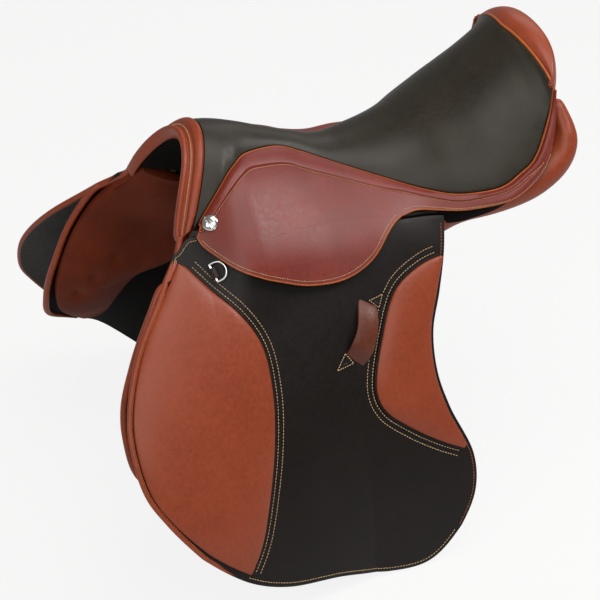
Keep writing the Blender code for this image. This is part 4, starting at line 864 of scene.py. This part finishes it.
facing = {
    # the section: out from the edge forward, and height, once round
    "profile": ((0.001, -0.01), (0.001, 0.0), (0.003, 0.0034), (0.0068, 0.004), (0.0108, 0.003),
                (0.0132, 0.0002), (0.0146, 0.0002), (0.0172, 0.0004), (0.019, -0.0008), (0.0206, 0.0016),
                (0.0232, 0.0028), (0.0258, 0.0016), (0.0272, -0.003), (0.0262, -0.012), (0.0215, -0.012),
                (0.0205, -0.006)),
    "tip": ((-0.2035, 0.088, 0.0465), (-0.2085, 0.0895, 0.043)), "seamAt": 0.0158, "innerEdge": 0.0232,
    # share of the way down each side: width, how far the outer roll has run out, height
    "down": ((0, 1.05, 0, 1.0), (0.35, 1.05, 0, 1.0), (0.62, 1.08, 0, 1.0), (0.8, 0.98, 0, 0.95),
             (0.9, 0.82, 0.16, 0.9), (0.95, 0.58, 0.55, 0.8), (1.0, 0.3, 1.0, 0.6)),
    # the lining behind it: from and to along the way forward, depth, slope, thickness
    "lining": (0.022, -0.045, 0.0125, 0.62, 0.0015),
}
cantle = {
    # three lines across the cantle: x, its pinch at the sides, half width, z, its rise and that rise's power
    "rim": (0.2485, 0.0195, 0.098, 0.151, 0.0425, 0.7),
    "back": (0.2545, 0.0215, 0.0965, 0.14, 0.038, 0.8),
    "hem": (0.2545, 0.0205, 0.092, 0.12, -0.008, 1.0),
    "weltGap": 0.0054, "pipeAt": 0.003, "thick": 0.0035,
}


def pommelFrame(count):  # a line over the pommel's front edge, with the ways forward and outward from it
    arch = seatLayer(0.0, np.linspace(-1, 1, 31), 0.0)
    tip = np.array(facing["tip"])
    path = smoothCurve(np.concatenate([tip[::-1] * (1, -1, 1), arch, tip]))(shares(count))
    tangent = np.gradient(path, axis=0)
    forward = unit(np.array([-1.0, 0.0, -0.28])) + 0 * path
    tangent = unit(tangent - forward * np.sum(forward * tangent, axis=1, keepdims=True))
    outward = unit(np.cross(tangent, forward))
    outward *= np.sign(outward[len(path) // 2, 2])
    share = np.abs(np.linspace(-1, 1, count))
    at, width, runOut, height = np.array(facing["down"]).T
    width, height = smoothTable(at, width)(share), smoothTable(at, height)(share)
    return path, forward, outward, width, np.interp(share, at, runOut), height


def makePommelFacing():  # the section's loop carried over the front edge, its seam and the lining
    path, forward, outward, width, runOut, height = pommelFrame(221)
    loop = smoothCurve(list(facing["profile"]) + [facing["profile"][0]])(shares(61)[:-1])
    edge = facing["innerEdge"]  # towards the tips every part closes in on the inner roll
    ahead, wide, gone = loop[None, :, 0], width[:, None], runOut[:, None]
    reach = np.where(ahead > edge, ahead * wide, ahead * wide * (1 - gone) + edge * wide * gone)
    rise = loop[None, :, 1:] * height[:, None, None]
    rings = path[:, None] + forward[:, None] * reach[..., None] + outward[:, None] * rise
    meshPiece("pommelFacing", *tube(rings), tanCalf, "tree", replaces=["pommel_facing"], slot="tan_leather")
    at = (facing["seamAt"] * (1 - runOut) + edge * runOut) * width
    seam = path + forward * at[:, None] + outward * (0.0005 * height)[:, None]
    sew(seam[8:-8], outward[8:-8], "cream", "tree", 1.0, 0.0026, 0.0008)
    first, last, depth, slope, thick = facing["lining"]
    back = np.linspace(first, last, 24)[:, None, None]
    spread = np.where(back > 0, width[None, :, None], 1.0)
    lining = []
    for deep in (0.0, thick):
        sink = depth + slope * (first - back) + deep
        lining.append((path[None] + forward[None] * back * spread - outward[None] * sink)[:, 24:-24])
    meshPiece("gulletCover", *sheet(*lining), blackLiningAndPaintedShade, "tree")


def cantleLine(key, t):  # x eases forward with t4 towards the sides, z rises with a power of 1 - t2
    x, pinch, half, z, rise, power = cantle[key]
    return np.stack([x - pinch * t ** 4, half * t, z + rise * (1 - t ** 2) ** power], axis=-1)


def makeCantleFacing():  # curves from the welt over the rim and down the back, one per share of the width
    t = np.linspace(-1, 1, 81)
    welt, lean = seatLayer(1.0, t, 0.0), 1 - t ** 2
    rim, back, hem = (cantleLine(key, t) for key in ("rim", "back", "hem"))
    brow = (welt + rim) / 2 + np.stack([-0.001 * lean, 0 * t, 0.001 + 0.004 * lean], axis=-1)
    start = welt + unit(rim - welt) * cantle["weltGap"]
    w = shares(40)
    outer = np.stack([smoothCurve(points)(w) for points in zip(start, brow, rim, back, hem)], axis=1)
    normal = unit(np.cross(np.gradient(outer, axis=0), np.gradient(outer, axis=1)))
    normal *= np.sign(normal[0, len(t) // 2, 2])
    meshPiece("cantleFacing", *sheet(outer, outer - normal * cantle["thick"]), tanCalf, "tree",
              replaces=["cantle_facing"], bevel=0.0006, slot="tan_leather")
    path = welt + unit(rim - welt) * cantle["pipeAt"]
    roundPiece("cantleWelt", path, seat["pipeRadius"], orangePiping, "tree", 1.0, 12, (0.3, 0.0, 1.0),
               ["cantle_welt"], "piping_leather")


makePommelFacing()
makeCantleFacing()
print("facings ready")


# Panels, sweat flaps and knee blocks

panel = {
    "spine": ((-0.112, 0.066, -0.014), (-0.05, 0.069, -0.022), (0.03, 0.072, -0.008), (0.075, 0.076, 0.004),
              (0.11, 0.083, 0.021), (0.15, 0.087, 0.033), (0.203, 0.087, 0.047), (0.237, 0.084, 0.068),
              (0.249, 0.082, 0.097), (0.245, 0.085, 0.124)),
    # along the rear pad: half width, half height and tilt
    "wide": ((0, 0.034), (0.38, 0.034), (0.52, 0.034), (0.62, 0.043), (0.8, 0.044), (0.92, 0.035),
             (1, 0.024)),
    "high": ((0, 0.016), (0.25, 0.018), (0.52, 0.021), (0.7, 0.022), (1, 0.016)),
    "tilt": ((0, -0.45), (0.3, -0.3), (0.6, -0.2), (1, -0.1)),
    "front": ((-0.205, 0.07, 0.052), (-0.218, 0.088, 0.036), (-0.233, 0.106, 0.017), (-0.256, 0.122, -0.012),
              (-0.279, 0.13, -0.052), (-0.296, 0.138, -0.1), (-0.301, 0.15, -0.14), (-0.294, 0.168, -0.174),
              (-0.262, 0.19, -0.208)),
    "back": ((-0.156, 0.072, 0.026), (-0.146, 0.082, -0.006), (-0.138, 0.098, -0.036), (-0.13, 0.114, -0.062),
             (-0.14, 0.127, -0.092), (-0.164, 0.133, -0.112), (-0.198, 0.146, -0.128), (-0.216, 0.16, -0.156),
             (-0.228, 0.182, -0.194)),
    "underGap": 0.0075, "tufts": ((-0.232, -0.086), (-0.258, -0.112), (-0.277, -0.137)), "tuftDeep": 0.005,
    "tuftWide": 0.0075,
    "rollTop": ((-0.2155, 0.088, 0.0455), (-0.2195, 0.0935, 0.0335), (-0.229, 0.107, 0.0225)),
    "rollRadius": 0.0042,
    "sweatTop": ((-0.2385, 0.0145), (-0.18, -0.024), (-0.06, -0.045), (0.058, -0.04)),
    "sweatBottom": ((-0.243, -0.235), (-0.193, -0.272), (-0.13, -0.292), (-0.05, -0.298), (0.03, -0.28)),
    "sweatFront": ((-0.2385, 0.0145), (-0.251, 0.0085), (-0.264, -0.011), (-0.2845, -0.05),
                   (-0.298, -0.086), (-0.308, -0.119), (-0.311, -0.1505), (-0.305, -0.188),
                   (-0.278, -0.211), (-0.243, -0.235)),
    "sweatRear": ((0.058, -0.04), (0.044, -0.12), (0.042, -0.2), (0.03, -0.28)), "sweatThick": 0.003,
    # the knee block's top, bottom, front and rear edges
    "block": (((-0.27, -0.05), (-0.245, -0.04)), ((-0.28, -0.15), (-0.252, -0.152)),
              ((-0.27, -0.05), (-0.29, -0.1), (-0.28, -0.15)),
              ((-0.245, -0.04), (-0.262, -0.1), (-0.252, -0.152))),
}


def rearPad(count, around):  # a flattened oval section carried along the spine
    u = shares(count)
    path = smoothCurve(panel["spine"])(u)
    across, rise = frames(path, np.array((-0.7, 0.0, 1.0)))  # leans forward, because the spine ends upright
    across = across * np.sign(across[:, 1:2])
    ends = np.sqrt(np.clip(1 - np.clip(np.abs(2 * u - 1) * 1.18 - 0.18, 0, 0.995) ** 5, 0.004, 1))
    halfWidth, halfHeight, tilt = (smoothTable(*zip(*panel[key]))(u) for key in ("wide", "high", "tilt"))
    angles = np.arange(around) * 2 * np.pi / around
    a, b = (np.sign(wave) * np.abs(wave) ** 0.8 for wave in (np.cos(angles), np.sin(angles)))
    wide = np.cos(tilt)[:, None] * across + np.sin(tilt)[:, None] * rise
    tall = -np.sin(tilt)[:, None] * across + np.cos(tilt)[:, None] * rise
    wideReach, tallReach = ((size * ends)[:, None] * wave for size, wave in ((halfWidth, a), (halfHeight, b)))
    return path[:, None] + wide[:, None] * wideReach[..., None] + tall[:, None] * tallReach[..., None]


def frontPad(rows, cols):  # a quilted sheet between the front and back curves, thick in its middle
    v, w = packed(rows), packed(cols)[None, :, None]
    mid = (1 - w) * smoothCurve(panel["front"])(v)[:, None] + w * smoothCurve(panel["back"])(v)[:, None]
    underSweat = sweatHalfWidth(mid[..., 0], mid[..., 2]) - panel["sweatThick"] - panel["underGap"]
    underFlap = sideHalfWidth(mid[..., 0], mid[..., 2]) - flap["thick"] - panel["underGap"]
    mid[..., 1] = np.minimum(mid[..., 1], np.where(mid[..., 2] < 0.015, underSweat, underFlap))
    normal = unit(np.cross(np.gradient(mid, axis=0), np.gradient(mid, axis=1)))
    normal *= np.sign(normal[rows // 2, cols // 2, 1])
    swell = (np.sin(np.pi * w[..., 0]) ** 0.6) * (np.sin(np.pi * np.clip(v, 0.03, 0.97))[:, None] ** 0.5)
    dimple = sum(np.exp(-(np.hypot(mid[..., 0] - x, mid[..., 2] - z) / panel["tuftWide"]) ** 2)
                 for x, z in panel["tufts"])
    deep = 0.005 + 0.016 * swell - panel["tuftDeep"] * dimple
    return mid + normal * 0.003, mid - normal * deep[..., None]


def makePanels():
    outer, inner = frontPad(110, 80)
    sweat = [smoothCurve(panel["sweat" + edge]) for edge in ("Top", "Bottom", "Front", "Rear")]
    sweatFaces = skin(sweatLayer, coons(sweat, shares(70), shares(60)), 0.0, -panel["sweatThick"])
    block = [smoothCurve(line) for line in panel["block"]]
    blockFaces = padSheet(sweatLayer, block, (40, 24), 0.0002, 0.003, 0.012, 0.6)
    edge = evenly(smoothCurve(panel["sweatFront"])(shares(90)), 120)
    path = np.concatenate([panel["rollTop"], onSurface(sweatLayer, shifted(edge, 0.001), -0.004)[0][2:]])
    path = smoothCurve(evenly(path, 40))(shares(160))[:149]
    share = shares(160)[:149]
    thin = panel["rollRadius"] * (0.84 + 0.16 * smoothStep(0, 0.15, share))
    thin = thin * (1 - 0.75 * smoothStep(0.72, 0.93, share))
    for name, side in sides:
        piece = meshPiece("panelRear_" + name, *tube(rearPad(120, 48)), tanCalf, "tree", side,
                          [f"panel_rear_{name}"], slot="tan_leather")
        piece = meshPiece("panelFront_" + name, *sheet(outer, inner), panelSuede, "tree", side,
                          [f"panel_front_{name}"], 0.0012, "panel_leather")
        meshPiece("sweatFlap_" + name, *sweatFaces, blackLiningAndPaintedShade, "tree", side, [f"sweat_flap_{name}"], 0.0007,
                  "tan_leather")
        piece = meshPiece("kneeBlock_" + name, *blockFaces, tanCalf, "tree", side, [f"knee_block_{name}"],
                          slot="tan_leather")
        roundPiece("sweatRoll_" + name, path, thin, tanCalf, "tree", side, 14)


makePanels()
print("panels ready")


# Metalwork, keepers, straps and webs

fittings = {
    "nailAt": (-0.18, 0.056), "nailLift": 0.002, "nailRadius": 0.0093, "nailHigh": 0.0042,
    "slotWide": 0.0028, "slotDeep": 0.0022, "slotTurn": 0.73,
    # half width, reach and wire of the dee; its corner, where it hangs to, where it faces out from
    "dee": (0.0105, 0.015, 0.0014), "deeAt": (-0.19, 0.013), "deeTo": (-0.184, -0.006),
    "deeFaces": (-0.184, 0.015), "deeLift": 0.0044,
}


def makeNails():  # a dome over a disc, z = h (1 - r2)^0.5, with a straight slot pressed down across it
    at = sideLayer(*fittings["nailAt"], skirt["lift"] + skirt["thick"] + fittings["nailLift"])
    out = outwardAt(*fittings["nailAt"])
    first = unit(np.cross(out, (0.0, 0.0, 1.0)))
    second = np.cross(out, first)
    r, a = shares(26)[:, None], np.linspace(0, 2 * np.pi, 73)[None, :-1]
    u, v = r * np.cos(a), r * np.sin(a)
    turn, half, soft = fittings["slotTurn"], fittings["slotWide"] / 2, 0.0002
    across = (u * math.sin(turn) - v * math.cos(turn)) * fittings["nailRadius"]
    dome = fittings["nailHigh"] * np.sqrt(np.clip(1 - r ** 2 * 0.96, 0, 1)) + 0 * a
    dome = dome - fittings["slotDeep"] * (1 - smoothStep(half - soft, half + soft, np.abs(across)))
    dome = np.clip(dome, 0.0004, 1)[..., None]
    rings = at + fittings["nailRadius"] * (u[..., None] * first + v[..., None] * second) + dome * out
    rings = np.concatenate([rings, rings[-1:] - dome[-1:] * out])
    for name, side in sides:
        meshPiece("skirtNail_" + name, *tube(rings), brightSteel, "tree", side, [f"skirt_nail_{name}"],
                  slot="chrome")


def makeDees():  # round wire along a straight bar and the half of an oval
    corner = sideLayer(*fittings["deeAt"], fittings["deeLift"])
    out = outwardAt(*fittings["deeFaces"])
    down = unit(sideLayer(*fittings["deeTo"], fittings["deeLift"]) - corner)
    down = unit(down - out * np.dot(down, out))
    back = np.cross(out, down)
    back *= np.sign(back[0])
    half, reach, wire = fittings["dee"]
    a = np.linspace(0, np.pi, 25)
    bar = [(half * share, 0.0) for share in (-0.99, -0.5, 0.0, 0.5, 0.99)]
    line = np.concatenate([bar, np.stack([half * np.cos(a), 0.005 + (reach - 0.005) * np.sin(a)], axis=-1)])
    line = np.concatenate([line, line[:1]])
    path = evenly(corner + line[:, :1] * down + line[:, 1:] * back, 72)[:-1]
    tangent = unit(np.roll(path, -1, axis=0) - np.roll(path, 1, axis=0))
    sideways = unit(np.cross(tangent, out))
    angle = (np.arange(12) * np.pi / 6)[:, None]
    rings = path[:, None] + wire * (sideways[:, None] * np.cos(angle) + out * np.sin(angle))
    for name, side in sides:
        meshPiece("deeRing_" + name, *tube(rings, True), brightSteel, f"dee_{name}", side, [f"dee_{name}"],
                  slot="chrome")


keeper = {
    "line": ((-0.0215, -0.0395), (-0.0235, -0.043), (-0.026, -0.052), (-0.0295, -0.063), (-0.035, -0.074),
             (-0.0415, -0.085), (-0.048, -0.093), (-0.0505, -0.096)),
    "lift": (-0.0012, 0.0014, 0.006, 0.009, 0.0098, 0.0072, 0.0016, -0.0012),
    "thick": 0.0024, "droop": 0.0016,
    "width": (0.02, 0.0225, 0.0245, 0.025, 0.0255, 0.027, 0.026, 0.024),
    # stitched points beyond both ends, as x and z of their corners
    "points": (((-0.0035, -0.0365), (-0.02, -0.04), (-0.0105, -0.0485)),
               ((-0.073, -0.0995), (-0.06, -0.085), (-0.052, -0.0965))),
}


def makeKeepers():  # a band let into two slits, its section round ended and equally thick all along
    line = np.array(keeper["line"])
    share = shares(70)
    path = smoothCurve(sideLayer(line[:, 0], line[:, 1], keeper["lift"]))(share)
    across, rise = frames(path, outwardAt(*line[4]))
    wide = smoothTable(shares(len(keeper["width"])), keeper["width"])(share)[:, None]
    a = np.linspace(-np.pi / 2, np.pi / 2, 6)[None]
    half = keeper["thick"] / 2
    right, high = wide / 2 - half + half * np.cos(a), half * np.sin(a)
    flat, tall = np.concatenate([right, -right], axis=1), np.concatenate([high, -high], axis=1)
    tall = tall + 0 * flat - keeper["droop"] * (2 * flat / wide) ** 2  # its edges bend down a little
    rings = path[:, None] + across[:, None] * flat[..., None] + rise[:, None] * tall[..., None]
    for name, side in sides:
        body = f"flap_{name}"
        meshPiece("leatherKeeper_" + name, *tube(rings), keeperLeather, body, side,
                  [f"leather_keeper_{name}"], slot="oxblood_leather")
        for index, corners in enumerate(np.array(keeper["points"])):
            seam, middle = evenly(np.concatenate([corners, corners[:1]]), 60), corners.mean(axis=0)
            sew(*onSurface(sideLayer, seam, 0.001), "cream", body, side, 0.003, 0.001)
            rims = np.stack([middle + (seam - middle) * size for size in (1.22, 0.6, 0.02)])
            meshPiece(f"keeperPoint_{name}_{index + 1}", *skin(sideLayer, rims, 0.0009, -0.0005),
                      chocolateBuffalo, body, side)


web = {
    # node, its first and last x, columns
    "rows": (("front_girth_web", -0.034, 0.022, 24), ("rear_girth_web", 0.03, 0.054, 12)),
    "depths": (0.0165, 0.0182), "crownAt": (0.0, 0.3, 0.6, 0.85), "flankZ": (0.036, 0.02),
    "hang": ((0.1225, -0.008), (0.1277, -0.026), (0.1277, -0.052)), "length": 0.46,
}


def makeWebs():  # bands that follow the seat under its cover, then the flank, then hang down both sides
    for name, low, high, count in web["rows"]:
        xs = np.linspace(low, high, count)
        layers = []
        for depth in web["depths"]:
            columns = []
            for x in xs:
                over = seatLayer(stationAt(x), np.array(web["crownAt"]), depth)
                flank = sideLayer(x, np.array(web["flankZ"]), -depth)
                hang = np.array([(x, y + web["depths"][1] - depth, z) for y, z in web["hang"]])
                half = np.concatenate([over, flank, hang])
                path = smoothCurve(np.concatenate([half[:0:-1] * (1, -1, 1), half]))(shares(90))
                path[:, 0] = x
                columns.append(path)
            layers.append(np.array(columns))
        uv = clothMap(np.linspace(0, web["length"], 90), xs)[:, ::-1]
        meshPiece("girthWeb_" + name.split("_")[0], *sheet(*layers), linenWeb, "tree", replaces=[name],
                  slot="webbing", uv=uv)


def dressNodes():  # the carried-over nodes keep their shape and take a finish
    finishes = {"tree_": treeWood, "head_plate": dullSteel, "gullet_lining": blackLiningAndPaintedShade,
                "stirrup_bar": brightSteel, "bar_catch": brightSteel, "dee_chape": strapLeather,
                "girth_strap_": strapLeather}
    for name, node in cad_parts.items():
        for start, material in finishes.items():
            if name.startswith(start):
                node.data.materials.clear()
                node.data.materials.append(material)


def makeStitches():  # all the stitches of one thread on one body become one piece
    threads = {"cream": creamThread, "orange": orangeThread}
    for (label, body), seams in stitchMeshes.items():
        starts = np.cumsum([0] + [len(points) for points, faces in seams])
        points = np.concatenate([points for points, faces in seams])
        faces = np.concatenate([seam[1] + start for seam, start in zip(seams, starts)])
        meshPiece(f"stitches_{label}_{body}", points, faces, threads[label], body)


makeNails()
makeDees()
makeKeepers()
makeWebs()
dressNodes()
makeStitches()
print("fittings, straps and stitching ready")
